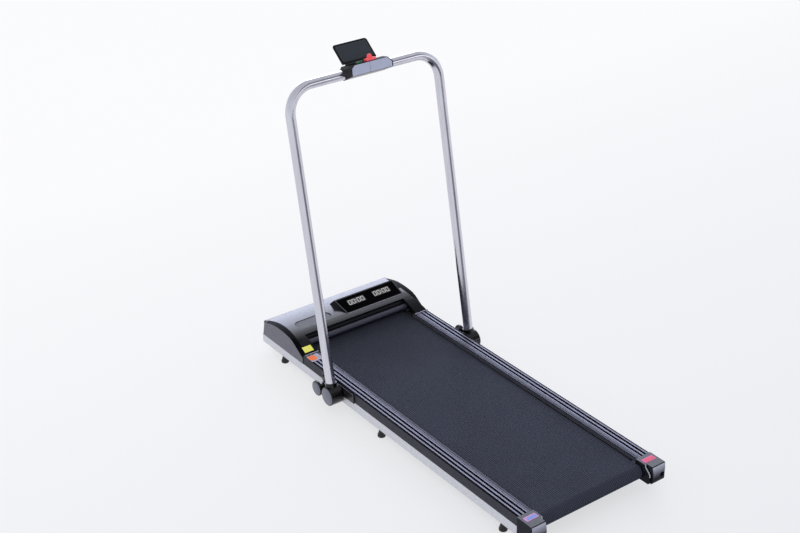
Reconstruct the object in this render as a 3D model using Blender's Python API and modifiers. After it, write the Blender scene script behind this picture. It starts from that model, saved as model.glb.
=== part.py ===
"""Folding walking treadmill: a low deck with a motor hood, and a U-shaped handlebar that folds down.

Metres, +Z up, +Y towards the hood, +X to the walker's right.
The origin is on the floor under the middle of the deck.
"""

import math

import bmesh
import bpy
from mathutils import Matrix, Vector

# Overall sizes
LENGTH = 1.422
DECK_WIDTH = 0.510
BAR_HEIGHT = 1.051

# Clearances
SEAT_GAP = 0.0003
RUNNING_GAP = 0.0003
SCREW_GAP = 0.0002

# Steel frame
BEAM_BOTTOM = 0.034
BEAM_HEIGHT = 0.031
BEAM_WIDTH = 0.025
BEAM_WALL = 0.002
INNER_BEAM_HEIGHT = 0.0195
INNER_BEAM_LENGTH = 0.040
CROSS_BEAM_INSET = 0.075
NOSE_BEAM_LENGTH = 0.0265
EAR_THICKNESS = 0.005
EAR_RADIUS = 0.015

# Foot rails
RAIL_WIDTH = 0.056
RAIL_HEIGHT = 0.035
RAIL_WALL = 0.004
RAIL_LIP = 0.003
GROOVE_WIDTH = 0.005
GROOVE_DEPTH = 0.0025
OUTER_GROOVE = 0.013
INNER_GROOVE = 0.028

# Belt, deck and rollers
BELT_SIDE_GAP = 0.0065
BELT_THICKNESS = 0.0016
BELT_DROP = 0.010
ROLLER_RADIUS = 0.0221
ROLLER_WALL = 0.0043
ROLLER_MARGIN = 0.0035
REAR_ROLLER_INSET = 0.050
FRONT_ROLLER_INSET = 0.1765
DECK_THICKNESS = 0.015
DECK_OVERLAP = 0.023
DECK_END_SPACE = 0.038
CUSHION_WIDTH = 0.017
AXLE_RADIUS = 0.0075
BEARING_WIDTH = 0.011
BEARING_DEPTH = 0.001
FRONT_BEARING_DEPTH = 0.012

# Rear end caps and belt tension screws
CAP_BULGE = 0.0055
CAP_LENGTH = 0.0618
CAP_HEIGHT = 0.060
CAP_OVERHANG = 0.003
CAP_FLANGE = 0.004
CAP_GROOVE = 0.004
CAP_CORNER = 0.007
CAP_TONGUE = 0.020
# The cap's inner flange sweeps down round the roller: (distance ahead, height) from the cap's top rear edge
FLANGE_SWEEP = [(0.0216, -0.0086), (0.0165, -0.0130), (0.0114, -0.0175)]
FLANGE_SWEEP += [(0.0068, -0.0222), (0.0030, -0.0275), (0.0023, -0.0353)]
REAR_AXLE_MARGIN = 0.005
TENSION_SCREW_RADIUS = 0.004
TENSION_HEAD_RADIUS = 0.0065
TENSION_HEAD_HEIGHT = 0.008
TENSION_BORE_RADIUS = 0.008
TENSION_SEAT = 0.0143

# Feet and transport wheels
FOOT_INSET = 0.0145
FOOT_RADIUS = 0.0135
FOOT_NECK_RADIUS = 0.0085
FOOT_NECK_HEIGHT = 0.021
FOOT_FLARE_HEIGHT = 0.007
FOOT_STUD_RADIUS = 0.003
FRONT_FOOT_INSET = 0.1165
REAR_FOOT_INSET = 0.1455
MIDDLE_FOOT_SHIFT = 0.015
WHEEL_RADIUS = 0.0145
WHEEL_WIDTH = 0.014
WHEEL_FLOOR_GAP = 0.003
WHEEL_INSET = 0.028
WHEEL_PIN_RADIUS = 0.0035
WHEEL_EAR = 0.0035

# Motor hood
HOOD_LENGTH = 0.2695
HOOD_OVERHANG = 0.002
HOOD_WALL = 0.003
HOOD_FOOT_INSET = 0.006
CUT_MARGIN = 0.02
HOOD_NOSE_INSET = 0.0165
HOOD_NOSE_LEAN = 0.0114
LIP_RADIUS = 0.010
LIP_AHEAD = 0.064
LIP_LIFT = 0.004
CREST_AHEAD = 0.075
SHELL_AHEAD = 0.0815
PANEL_THICKNESS = 0.003
PANEL_START = 0.013
PANEL_DROP = 0.0022
PANEL_LEDGE = 0.0016
RAIL_UNDER_HOOD = 0.010

# Bare recess in the hood's left half
RECESS_SIDE = 0.0523
RECESS_GAP = 0.0392
RECESS_REAR = 0.1067
RECESS_FRONT = 0.154
RECESS_DEPTH = 0.0015

# Display on the hood
DISPLAY_SIDE = 0.0355
DISPLAY_WIDTH = 0.2469
DISPLAY_DEPTH = 0.0718
DISPLAY_TILT = math.radians(22.1)
DISPLAY_SKEW = 0.0114
WINDOW_THICKNESS = 0.0012
WINDOW_MARGIN = 0.0045

# Motor bay
PAN_FLOOR = 0.002
PAN_REAR_AHEAD = 0.054
PAN_FRONT_GAP = 0.0065
PAN_SLOTS = 6
PAN_SLOT_PITCH = 0.040
PAN_BOTTOM = 0.026
PAN_WALL_HEIGHT = 0.029
PAN_REAR_LIP = 0.010
MOTOR_RADIUS = 0.038
MOTOR_INSET = 0.0915
MOTOR_HEIGHT = 0.078
MOTOR_LENGTH = 0.150
SADDLE_HALF_DEPTH = 0.040
SHAFT_BORE_DEPTH = 0.050
MOTOR_SHAFT_RADIUS = 0.005
FLYWHEEL_RADIUS = 0.034
FLYWHEEL_WIDTH = 0.012
FLYWHEEL_SPACE = 0.007
FLYWHEEL_TO_PULLEY = 0.0095
PULLEY_WIDTH = 0.015
PULLEY_SPACE = 0.0025
ROLLER_PULLEY_RADIUS = 0.030
MOTOR_PULLEY_RADIUS = 0.011
RIB_COUNT = 4
RIB_DEPTH = 0.0018
DRIVE_BELT_BACK = 0.0012

CONTROLLER_INSET = 0.040
CONTROLLER_TO_MOTOR = 0.050
CONTROLLER_HALF_DEPTH = 0.040
CONTROLLER_BASE = 0.014
CONTROLLER_HEIGHT = 0.030
FIN_COUNT = 9

# Folding handlebar
TUBE_RADIUS = 0.016
TUBE_WALL = 0.0015
POST_OFFSET = 0.027
POST_SHIFT = 0.0026
LEAN = math.radians(10.34)
BEND_RADIUS = 0.085
HUB_INSET = 0.4725
HUB_RADIUS = 0.0318
HUB_WIDTH = 0.0445
HUB_FROM_RAIL = 0.0055
HUB_ROUND = 0.0015
SLEEVE_WALL = 0.0035
SLEEVE_TOP = 0.0417
TUBE_SEAT = 0.0125
PIN_RADIUS = 0.008
PIN_COVER = 0.0065
BRACKET_THICKNESS = 0.004
BRACKET_REAR_REACH = 0.084
BRACKET_FRONT_REACH = 0.0265
KNOB_FORWARD = 0.0695
KNOB_DROP = 0.0055
KNOB_RADIUS = 0.0255
KNOB_THICKNESS = 0.010
KNOB_STEM_RADIUS = 0.009
KNOB_FACE = 0.045
KNOB_SCREW_RADIUS = 0.004
LUG_THICKNESS = 0.008

# Console on the bar
CONSOLE_WIDTH = 0.153
REST_WIDTH = 0.128
REST_HEIGHT = 0.078
REST_THICKNESS = 0.003
REST_LEAN = math.radians(51.0)
REST_SHOULDER = 0.0056
REST_BARREL_RADIUS = 0.0037
REST_PIN_RADIUS = 0.0018
REST_BARREL_GAP = 0.00034
REST_DOWN_SLOPE = 0.00824
REST_EAR = 0.004
REST_EAR_RADIUS = 0.0042
REST_EAR_ROOT = 0.006
REST_EAR_X = 0.0505
CONTROLS_AHEAD = 0.0127
KEY_WIDTH = 0.037
KEY_DEPTH = 0.020
KEY_BASE = 0.009
KEY_GRIP_WIDTH = 0.021
KEY_GRIP_TAPER = 0.45
KEY_GRIP_HEIGHT = 0.012
BUTTON_X = -0.040
BUTTON_WIDTH = 0.018
BUTTON_DEPTH = 0.012
BUTTON_HEIGHT = 0.007
BUTTON_TRAVEL = 0.002

# Mains inlet with its switch
INLET_INSET = 0.107
INLET_WIDTH = 0.027
INLET_HEIGHT = 0.047
INLET_DEPTH = 0.024
INLET_FLANGE = 0.003
SOCKET_HALF_WIDTH = 0.0115
SOCKET_BOTTOM = -0.0205
SOCKET_TOP = -0.0045
SOCKET_DEPTH = 0.018
ROCKER_WIDTH = 0.013
ROCKER_HALF_HEIGHT = 0.0085
ROCKER_DEPTH = 0.004
ROCKER_LIFT = 0.01175
ROCKER_PIN_RADIUS = 0.0012
ROCKER_TILT = math.radians(8.0)

# Smoothness of round pieces
SIDES = 28
SMALL_SIDES = 16
TUBE_SIDES = 22
BEND_STEPS = 8

# Places worked out from the sizes
REAR = -LENGTH / 2
FRONT = LENGTH / 2
RAIL_OUTER = DECK_WIDTH / 2
RAIL_INNER = RAIL_OUTER - RAIL_WIDTH
BELT_WIDTH = 2 * (RAIL_INNER - BELT_SIDE_GAP)
BEAM_INNER = RAIL_OUTER - BEAM_WIDTH
WHEEL_X = BEAM_INNER - WHEEL_INSET
BEAM_TOP = BEAM_BOTTOM + BEAM_HEIGHT
RAIL_TOP = BEAM_TOP + RAIL_HEIGHT
BELT_TOP = RAIL_TOP - BELT_DROP
BELT_INNER_RADIUS = ROLLER_RADIUS + RUNNING_GAP
ROLLER_Z = BELT_TOP - BELT_THICKNESS - BELT_INNER_RADIUS
ROLLER_HALF = BELT_WIDTH / 2 + ROLLER_MARGIN
ROLLER_BORE = ROLLER_RADIUS - ROLLER_WALL
CAP_REAR = REAR + CAP_BULGE
CAP_FRONT = CAP_REAR + CAP_LENGTH
CAP_OUTER = RAIL_OUTER + CAP_OVERHANG
REAR_ROLLER_Y = CAP_REAR + REAR_ROLLER_INSET
FRONT_ROLLER_Y = FRONT - FRONT_ROLLER_INSET
NOSE_REAR = FRONT - NOSE_BEAM_LENGTH
DECK_TOP = BELT_TOP - BELT_THICKNESS - SEAT_GAP
DECK_BOTTOM = DECK_TOP - DECK_THICKNESS
DECK_HALF = RAIL_INNER + DECK_OVERLAP
DECK_REAR = REAR_ROLLER_Y + DECK_END_SPACE
DECK_FRONT = FRONT_ROLLER_Y - DECK_END_SPACE
HOOD_TIP = FRONT - HOOD_LENGTH
HOOD_HALF = RAIL_OUTER + HOOD_OVERHANG
DISPLAY_RIGHT = HOOD_HALF - DISPLAY_SIDE
DISPLAY_LEFT = DISPLAY_RIGHT - DISPLAY_WIDTH
RECESS_LEFT = RECESS_SIDE - HOOD_HALF
RECESS_RIGHT = DISPLAY_LEFT - RECESS_GAP
INLET_X = INLET_INSET - HOOD_HALF
HOOD_BOTTOM = BEAM_TOP + SEAT_GAP
HOOD_NOSE = FRONT - HOOD_NOSE_INSET
RAIL_FRONT = HOOD_TIP + RAIL_UNDER_HOOD
PANEL_REAR = HOOD_TIP + PANEL_START
AXLE_EAR_X = BEAM_INNER + 0.0005
PULLEY_LEFT = ROLLER_HALF + PULLEY_SPACE
PULLEY_RIGHT = PULLEY_LEFT + PULLEY_WIDTH
MOTOR_RIGHT = PULLEY_LEFT - FLYWHEEL_TO_PULLEY - FLYWHEEL_WIDTH - FLYWHEEL_SPACE
MOTOR_LEFT = MOTOR_RIGHT - MOTOR_LENGTH
CONTROLLER_LEFT = CONTROLLER_INSET - BEAM_INNER
CONTROLLER_RIGHT = MOTOR_LEFT - CONTROLLER_TO_MOTOR
MOTOR_Y = FRONT - MOTOR_INSET
HUB_Y = FRONT - HUB_INSET
HUB_Z = BEAM_TOP
HUB_INNER = RAIL_OUTER + HUB_FROM_RAIL
HUB_OUTER = HUB_INNER + HUB_WIDTH
POST_X = RAIL_OUTER + POST_OFFSET
BRACKET_INNER = RAIL_OUTER + SEAT_GAP
BRACKET_OUTER = BRACKET_INNER + BRACKET_THICKNESS
KNOB_Y = HUB_Y + KNOB_FORWARD
KNOB_Z = HUB_Z - KNOB_DROP
LUG_INNER = HUB_INNER + 0.002
LUG_OUTER = LUG_INNER + LUG_THICKNESS
POST_LENGTH = (BAR_HEIGHT - HUB_Z + POST_SHIFT * math.sin(LEAN)) / math.cos(LEAN)
BAR_Y = HUB_Y + POST_SHIFT * math.cos(LEAN) + POST_LENGTH * math.sin(LEAN)
TENSION_X = RAIL_OUTER - BEAM_WIDTH / 2
REAR_AXLE_HALF = RAIL_OUTER - REAR_AXLE_MARGIN

# Side view of the hood, as curve points (distance ahead of the hood's tip, height above the rails)
HOOD_TOP_LINE = [(0.0, 0.003), (0.068, 0.040), (0.163, 0.050), (0.253, 0.023)]
PANEL_REAR_LINE = [(0.0, -0.0165), (0.045, 0.002), (0.075, 0.036), (0.115, 0.0395)]
PANEL_FRONT_LINE = [(0.115, 0.0395), (0.153, 0.042), (0.208, 0.0325), (0.253, 0.0165)]
# Width of the dark rim along the hood's edge (distance ahead of the tip, width)
RIM_LINE = [(0.0, 0.006), (0.068, 0.020), (0.203, 0.036), (0.253, 0.001)]

# Side view of the console, from the bar's centre
CONSOLE_FACE_FOOT = (-0.051, 0.0085)
CONSOLE_FACE_TOP = (-0.048, 0.0436)
CONSOLE_BACK_TOP = (0.009, 0.024)
CONSOLE_BACK = (0.020, 0.009)
CONSOLE_BACK_FOOT = (0.020, -0.009)
CONSOLE_BELLY = (0.0, -0.020)
CONSOLE_CHIN = (-0.026, -0.0058)
# Width and depth of the slanted cuts on the console's upper corners
CONSOLE_CORNERS = {"left": (0.0105, 0.009), "right": (0.0215, 0.018)}

# Turns an outline's own axes into the model's: along X, and along Y
ALONG_X = Matrix(((0, 0, 1, 0), (1, 0, 0, 0), (0, 1, 0, 0), (0, 0, 0, 1)))
ALONG_Y = Matrix(((1, 0, 0, 0), (0, 0, -1, 0), (0, 1, 0, 0), (0, 0, 0, 1)))
TURNS = {
    "X": Matrix.Rotation(math.pi / 2, 4, "Y"),
    "-X": Matrix.Rotation(-math.pi / 2, 4, "Y"),
    "Y": Matrix.Rotation(-math.pi / 2, 4, "X"),
    "Z": Matrix.Identity(4),
}
IDENTITY = Matrix.Identity(4)
BOTH = (("left", -1), ("right", 1))


def clear_scene():
    for obj in list(bpy.data.objects):
        bpy.data.objects.remove(obj, do_unlink=True)


def new_collection(name):
    collection = bpy.data.collections.new(name)
    bpy.context.scene.collection.children.link(collection)
    return collection


def make_material(name, colour, roughness, metallic=0.0):
    """A plain Principled material."""
    material = bpy.data.materials.new(name)
    material.use_nodes = True
    shader = material.node_tree.nodes["Principled BSDF"]
    shader.inputs["Base Color"].default_value = (*colour, 1.0)
    shader.inputs["Roughness"].default_value = roughness
    shader.inputs["Metallic"].default_value = metallic
    material.diffuse_color = (*colour, 1.0)
    return material


def outwards(sign):
    """The axis that points away from the deck's middle on a side."""
    return "X" if sign > 0 else "-X"


def add(name, mesh, material):
    """A part with its material, or a hidden helper where the material is None."""
    obj = bpy.data.objects.new(name, mesh)
    if material is None:
        CUTTERS.objects.link(obj)
        obj.hide_render = True
        obj.display_type = "WIRE"
        return obj
    mesh.materials.clear()
    mesh.materials.append(material)
    PARTS.objects.link(obj)
    return obj


def box(name, low, high, material, frame=IDENTITY):
    """A box between two corners."""
    low, high = Vector(low), Vector(high)
    builder = bmesh.new()
    bmesh.ops.create_cube(builder, size=1.0)
    bmesh.ops.scale(builder, vec=high - low, verts=builder.verts)
    mesh = bpy.data.meshes.new(name)
    builder.to_mesh(mesh)
    builder.free()
    obj = add(name, mesh, material)
    obj.matrix_world = frame @ Matrix.Translation((low + high) / 2)
    return obj


def outline(name, loops, low, high, material, frame=IDENTITY):
    """A flat outline, its later loops cut out as holes, thickened from low to high along its own Z."""
    curve = bpy.data.curves.new(name, "CURVE")
    curve.dimensions = "2D"
    curve.fill_mode = "BOTH"
    curve.extrude = (high - low) / 2
    for loop in loops:
        spline = curve.splines.new("POLY")
        spline.points.add(len(loop) - 1)
        for point, (x, y) in zip(spline.points, loop):
            point.co = (x, y, 0.0, 1.0)
        spline.use_cyclic_u = True
    drawn = bpy.data.objects.new(name, curve)
    drawn.matrix_world = frame @ Matrix.Translation((0, 0, (low + high) / 2))
    bpy.context.scene.collection.objects.link(drawn)
    mesh = bpy.data.meshes.new_from_object(drawn.evaluated_get(bpy.context.evaluated_depsgraph_get()))
    place = drawn.matrix_world.copy()
    bpy.data.objects.remove(drawn, do_unlink=True)
    weld(mesh)
    obj = add(name, mesh, material)
    obj.matrix_world = place
    return obj


def weld(mesh):
    """Joins the loose caps of a mesh made from a curve, and turns every face outwards."""
    builder = bmesh.new()
    builder.from_mesh(mesh)
    bmesh.ops.remove_doubles(builder, verts=builder.verts, dist=1e-6)
    bmesh.ops.recalc_face_normals(builder, faces=builder.faces)
    builder.to_mesh(mesh)
    builder.free()


def across(name, loops, start, end, material, frame=IDENTITY):
    """An outline in (y, z) thickened along X."""
    low, high = sorted((start, end))
    return outline(name, loops, low, high, material, frame @ ALONG_X)


def lengthwise(name, loops, start, end, material, frame=IDENTITY):
    """An outline in (x, z) thickened along Y."""
    low, high = sorted((start, end))
    return outline(name, loops, -high, -low, material, frame @ ALONG_Y)


def turned(name, profile, centre, axis, material, sides=SIDES, frame=IDENTITY):
    """A profile of (radius, height) points turned about an axis through the centre."""
    doubled_area = 0.0
    for (r1, h1), (r2, h2) in zip(profile, profile[1:] + profile[:1]):
        doubled_area += r1 * h2 - r2 * h1
    if doubled_area > 0:
        profile = profile[::-1]
    edges = [(i, i + 1) for i in range(len(profile) - 1)]
    if min(radius for radius, height in profile) > 0:
        edges.append((len(profile) - 1, 0))
    mesh = bpy.data.meshes.new(name)
    mesh.from_pydata([(radius, 0.0, height) for radius, height in profile], edges, [])
    obj = add(name, mesh, material)
    screw = obj.modifiers.new("turn", "SCREW")
    screw.steps = sides
    screw.render_steps = sides
    screw.use_merge_vertices = True
    screw.merge_threshold = 1e-6
    screw.use_smooth_shade = False
    obj.matrix_world = frame @ Matrix.Translation(centre) @ TURNS[axis]
    return obj


def rod(name, radius, start, end, centre, axis, material, sides=SMALL_SIDES, frame=IDENTITY):
    """A plain cylinder between two heights on its axis."""
    profile = [(0.0, end), (radius, end), (radius, start), (0.0, start)]
    return turned(name, profile, centre, axis, material, sides, frame)


def loft(name, rings, material):
    """A closed solid through rings of equal counts of points, its two ends capped."""
    builder = bmesh.new()
    rows = [[builder.verts.new(point) for point in ring] for ring in rings]
    for lower, upper in zip(rows, rows[1:]):
        for i in range(len(lower)):
            j = (i + 1) % len(lower)
            builder.faces.new((lower[i], lower[j], upper[j], upper[i]))
    builder.faces.new(rows[0][::-1])
    builder.faces.new(rows[-1])
    bmesh.ops.recalc_face_normals(builder, faces=builder.faces)
    mesh = bpy.data.meshes.new(name)
    builder.to_mesh(mesh)
    builder.free()
    return add(name, mesh, material)


def combine(obj, operation, others):
    for other in others:
        modifier = obj.modifiers.new(other.name, "BOOLEAN")
        modifier.operation = operation
        modifier.object = other
    return obj


def cut(obj, *others):
    return combine(obj, "DIFFERENCE", others)


def join(obj, *others):
    return combine(obj, "UNION", others)


def arc(centre, radius, start, end, steps):
    """Points on an arc between two angles in degrees."""
    points = []
    for step in range(steps + 1):
        angle = math.radians(start + (end - start) * step / steps)
        points.append((centre[0] + radius * math.cos(angle), centre[1] + radius * math.sin(angle)))
    return points


def circle(centre, radius, sides=SMALL_SIDES):
    return arc(centre, radius, 0, 360, sides)[:-1]


def rounded(points, radii, steps=4):
    """A closed outline whose corners are filleted, each by its own radius."""
    result = []
    count = len(points)
    for i, (corner, radius) in enumerate(zip(points, radii)):
        if radius == 0:
            result.append(corner)
            continue
        here = Vector(corner)
        back = (Vector(points[i - 1]) - here).normalized()
        ahead = (Vector(points[(i + 1) % count]) - here).normalized()
        half = math.acos(max(-1.0, min(1.0, back.dot(ahead)))) / 2
        reach = radius / math.tan(half)
        centre = here + (back + ahead).normalized() * radius / math.sin(half)
        first = here + back * reach - centre
        last = here + ahead * reach - centre
        turn = math.atan2(first.x * last.y - first.y * last.x, first.dot(last))
        for step in range(steps + 1):
            spoke = Matrix.Rotation(turn * step / steps, 2) @ first
            result.append(tuple(centre + spoke))
    return result


def rectangle(low, high, radius=0.0, steps=4):
    corners = [(low[0], low[1]), (high[0], low[1]), (high[0], high[1]), (low[0], high[1])]
    return rounded(corners, [radius] * 4, steps)


def bezier(controls, t):
    """A point on a cubic curve."""
    p0, p1, p2, p3 = (Vector(point) for point in controls)
    return (1 - t) ** 3 * p0 + 3 * (1 - t) ** 2 * t * p1 + 3 * (1 - t) * t * t * p2 + t**3 * p3


def curve_value(controls, along):
    """The curve's second coordinate where its first is along, carried on straight past its ends."""
    start, end = Vector(controls[0]), Vector(controls[-1])
    if along <= start.x:
        slope = (controls[1][1] - start.y) / (controls[1][0] - start.x)
        return start.y + slope * (along - start.x)
    if along >= end.x:
        slope = (end.y - controls[2][1]) / (end.x - controls[2][0])
        return end.y + slope * (along - end.x)
    low, high = 0.0, 1.0
    for _ in range(40):
        middle = (low + high) / 2
        if bezier(controls, middle).x < along:
            low = middle
        else:
            high = middle
    return bezier(controls, low).y


def hood_height(along):
    return RAIL_TOP + curve_value(HOOD_TOP_LINE, along)


def panel_height(along):
    """Height of the side panel's top edge, always a little below the hood's top."""
    controls = PANEL_REAR_LINE if along < PANEL_REAR_LINE[-1][0] else PANEL_FRONT_LINE
    return min(RAIL_TOP + curve_value(controls, along), hood_height(along) - PANEL_DROP)


def rim_width(along):
    return max(0.0005, curve_value(RIM_LINE, along))


def hang(pivot, *pieces):
    """Parents pieces to a pivot without moving them."""
    bpy.context.view_layer.update()
    for piece in pieces:
        piece.parent = pivot
        piece.matrix_parent_inverse = pivot.matrix_world.inverted()


def pivot_at(name, place):
    pivot = bpy.data.objects.new(name, None)
    pivot.empty_display_size = 0.02
    pivot.location = place
    PARTS.objects.link(pivot)
    return pivot


# The hood's front wall leans back: its frame has Z up the wall and Y straight out of it
NOSE_FOOT_Y = HOOD_NOSE + HOOD_NOSE_LEAN
NOSE_TOP_Z = RAIL_TOP + HOOD_TOP_LINE[-1][1]
NOSE_ANGLE = math.atan2(HOOD_NOSE_LEAN, NOSE_TOP_Z - HOOD_BOTTOM)
NOSE_MIDDLE = (0.0, (HOOD_NOSE + NOSE_FOOT_Y) / 2, (NOSE_TOP_Z + HOOD_BOTTOM) / 2)
NOSE_FRAME = Matrix.Translation(NOSE_MIDDLE) @ Matrix.Rotation(NOSE_ANGLE, 4, "X")
ROCKER_PIVOT = (INLET_X, -ROCKER_DEPTH, ROCKER_LIFT)

# The posts lean forward from the hub
POST_FRAME = Matrix.Translation((0.0, HUB_Y, HUB_Z)) @ Matrix.Rotation(-LEAN, 4, "X")

# The display leans back towards the walker
DISPLAY_FOOT = 0.0975
DISPLAY_FRAME = Matrix.Translation((0.0, HOOD_TIP + DISPLAY_FOOT, hood_height(DISPLAY_FOOT)))
DISPLAY_FRAME = DISPLAY_FRAME @ Matrix.Rotation(DISPLAY_TILT, 4, "X")

# The console's top slopes down away from the walker
CONSOLE_TOP_RUN = Vector(CONSOLE_BACK_TOP) - Vector(CONSOLE_FACE_TOP)
CONSOLE_SLOPE = math.atan2(CONSOLE_TOP_RUN.y, CONSOLE_TOP_RUN.x)
CONSOLE_TOP_EDGE = (0.0, BAR_Y + CONSOLE_FACE_TOP[0], BAR_HEIGHT + CONSOLE_FACE_TOP[1])
CONSOLE_TOP_FRAME = Matrix.Translation(CONSOLE_TOP_EDGE) @ Matrix.Rotation(CONSOLE_SLOPE, 4, "X")

# The rest's pins keep their distance from the console's slanted back
BACK_SLOPE = (Vector(CONSOLE_BACK) - Vector(CONSOLE_BACK_TOP)).normalized()
BACK_OUTWARD = Vector((-BACK_SLOPE.y, BACK_SLOPE.x))
REST_PIVOT = Vector(CONSOLE_BACK_TOP) + BACK_SLOPE * REST_DOWN_SLOPE
REST_PIVOT += BACK_OUTWARD * (REST_BARREL_RADIUS + REST_BARREL_GAP)
REST_AXIS = (0.0, BAR_Y + REST_PIVOT.x, BAR_HEIGHT + REST_PIVOT.y)


def side_beams():
    for side, sign in BOTH:
        name = f"side_beam_{side}"
        low_x, high_x = sorted((sign * BEAM_INNER, sign * RAIL_OUTER))
        rear = CAP_FRONT + SEAT_GAP
        beam = box(name, (low_x, rear, BEAM_BOTTOM), (high_x, FRONT, BEAM_TOP), SILVER)
        wall = BEAM_WALL
        hollow = box(
            f"{name}_hollow",
            (low_x + wall, rear - 0.01, BEAM_BOTTOM + wall),
            (high_x - wall, FRONT - wall, BEAM_TOP - wall),
            None,
        )
        cut(beam, hollow)
        ear_loop = [(FRONT_ROLLER_Y - EAR_RADIUS, BEAM_TOP - wall / 2)]
        ear_loop += arc((FRONT_ROLLER_Y, ROLLER_Z), EAR_RADIUS, 180, 0, 10)
        ear_loop.append((FRONT_ROLLER_Y + EAR_RADIUS, BEAM_TOP - wall / 2))
        ear = across(f"{name}_ear", [ear_loop], sign * AXLE_EAR_X, sign * (AXLE_EAR_X + EAR_THICKNESS), None)
        axle_hole = rod(
            f"{name}_axle_hole",
            AXLE_RADIUS + SEAT_GAP,
            BEAM_INNER - 0.01,
            AXLE_EAR_X + EAR_THICKNESS + 0.004,
            (0, FRONT_ROLLER_Y, ROLLER_Z),
            outwards(sign),
            None,
        )
        join(beam, ear)
        cut(beam, axle_hole)
        for place, y in foot_places():
            stud_hole = rod(
                f"{name}_{place}_hole",
                FOOT_STUD_RADIUS + SEAT_GAP,
                BEAM_BOTTOM - 0.01,
                BEAM_BOTTOM + wall + 0.001,
                (sign * (RAIL_OUTER - FOOT_INSET), y, 0),
                "Z",
                None,
                12,
            )
            cut(beam, stud_hole)


def foot_places():
    rear = REAR + REAR_FOOT_INSET
    front = FRONT - FRONT_FOOT_INSET
    return (("rear", rear), ("middle", (rear + front) / 2 + MIDDLE_FOOT_SHIFT), ("front", front))


def feet():
    top = BEAM_BOTTOM - SEAT_GAP
    stud_top = BEAM_BOTTOM + BEAM_WALL + 0.006
    profile = [
        (0.0, stud_top),
        (FOOT_STUD_RADIUS, stud_top),
        (FOOT_STUD_RADIUS, top),
        (FOOT_NECK_RADIUS, top),
        (FOOT_NECK_RADIUS, FOOT_NECK_HEIGHT),
        (FOOT_RADIUS, FOOT_FLARE_HEIGHT),
        (FOOT_RADIUS, 0.0015),
        (FOOT_RADIUS - 0.0015, 0.0),
        (0.0, 0.0),
    ]
    for side, sign in BOTH:
        for place, y in foot_places():
            centre = (sign * (RAIL_OUTER - FOOT_INSET), y, 0)
            turned(f"foot_{place}_{side}", profile, centre, "Z", RUBBER, 14)


def cross_beams():
    half = BEAM_INNER - SEAT_GAP
    spots = (
        ("rear_cross_beam", DECK_REAR + CROSS_BEAM_INSET),
        ("middle_cross_beam", (DECK_REAR + DECK_FRONT) / 2),
        ("front_cross_beam", DECK_FRONT - CROSS_BEAM_INSET),
    )
    for name, y in spots:
        low = (y - INNER_BEAM_LENGTH / 2, BEAM_TOP - INNER_BEAM_HEIGHT)
        high = (y + INNER_BEAM_LENGTH / 2, BEAM_TOP)
        across(name, tube_section(low, high), -half, half, DARK_STEEL)


def tube_section(low, high):
    """The section of a rectangular steel tube: its outside and its hollow."""
    wall = BEAM_WALL
    outer = rectangle(low, high, 0.003, 2)
    inner = rectangle((low[0] + wall, low[1] + wall), (high[0] - wall, high[1] - wall), 0.001, 2)
    return [outer, inner]


def nose_cross_beam():
    """The front cross tube, with ears and pins for the transport wheels."""
    half = BEAM_INNER - SEAT_GAP
    section = tube_section((NOSE_REAR, BEAM_BOTTOM), (FRONT, BEAM_TOP))
    beam = across("nose_cross_beam", section, -half, half, SILVER)
    centre = wheel_centre()
    reach = WHEEL_WIDTH / 2 + RUNNING_GAP
    for side, sign in BOTH:
        for place, start in (("inner", WHEEL_X - reach - WHEEL_EAR), ("outer", WHEEL_X + reach)):
            loop = [(centre[0] - 0.008, BEAM_BOTTOM + BEAM_WALL / 2)]
            loop += arc(centre, 0.0065, 200, 340, 6)
            loop.append((centre[0] + 0.008, BEAM_BOTTOM + BEAM_WALL / 2))
            name = f"wheel_ear_{place}_{side}"
            join(beam, across(name, [loop], sign * start, sign * (start + WHEEL_EAR), None))
        pin_reach = reach + WHEEL_EAR / 2
        pin = rod(
            f"wheel_pin_{side}",
            WHEEL_PIN_RADIUS,
            -pin_reach,
            pin_reach,
            (sign * WHEEL_X, *centre),
            "X",
            None,
        )
        join(beam, pin)


def wheel_centre():
    """The transport wheels' axis, as (y, z)."""
    return (FRONT - WHEEL_RADIUS - 0.002, WHEEL_FLOOR_GAP + WHEEL_RADIUS)


def transport_wheels():
    half = WHEEL_WIDTH / 2
    bore = WHEEL_PIN_RADIUS + RUNNING_GAP
    profile = [
        (bore, half),
        (0.0065, half),
        (0.0110, half - 0.0015),
        (WHEEL_RADIUS - 0.001, half - 0.0005),
        (WHEEL_RADIUS, half - 0.0025),
        (WHEEL_RADIUS, -half + 0.0025),
        (WHEEL_RADIUS - 0.001, -half + 0.0005),
        (0.0110, -half + 0.0015),
        (0.0065, -half),
        (bore, -half),
    ]
    for side, sign in BOTH:
        turned(f"transport_wheel_{side}", profile, (sign * WHEEL_X, *wheel_centre()), "X", RUBBER, 14)


def deck():
    box("deck_board", (-DECK_HALF, DECK_REAR, DECK_BOTTOM), (DECK_HALF, DECK_FRONT, DECK_TOP), BOARD)
    for side, sign in BOTH:
        low_x, high_x = sorted((sign * (DECK_HALF - CUSHION_WIDTH), sign * DECK_HALF))
        low = (low_x, DECK_REAR + 0.01, BEAM_TOP + SEAT_GAP)
        high = (high_x, DECK_FRONT - 0.01, DECK_BOTTOM - SEAT_GAP)
        box(f"deck_cushion_{side}", low, high, RUBBER)


def belt_path(radius):
    """The outline of the belt loop at a distance from the rollers' centres."""
    rear = arc((REAR_ROLLER_Y, ROLLER_Z), radius, 90, 270, 14)
    front = arc((FRONT_ROLLER_Y, ROLLER_Z), radius, -90, 90, 14)
    return rear + front


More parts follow.
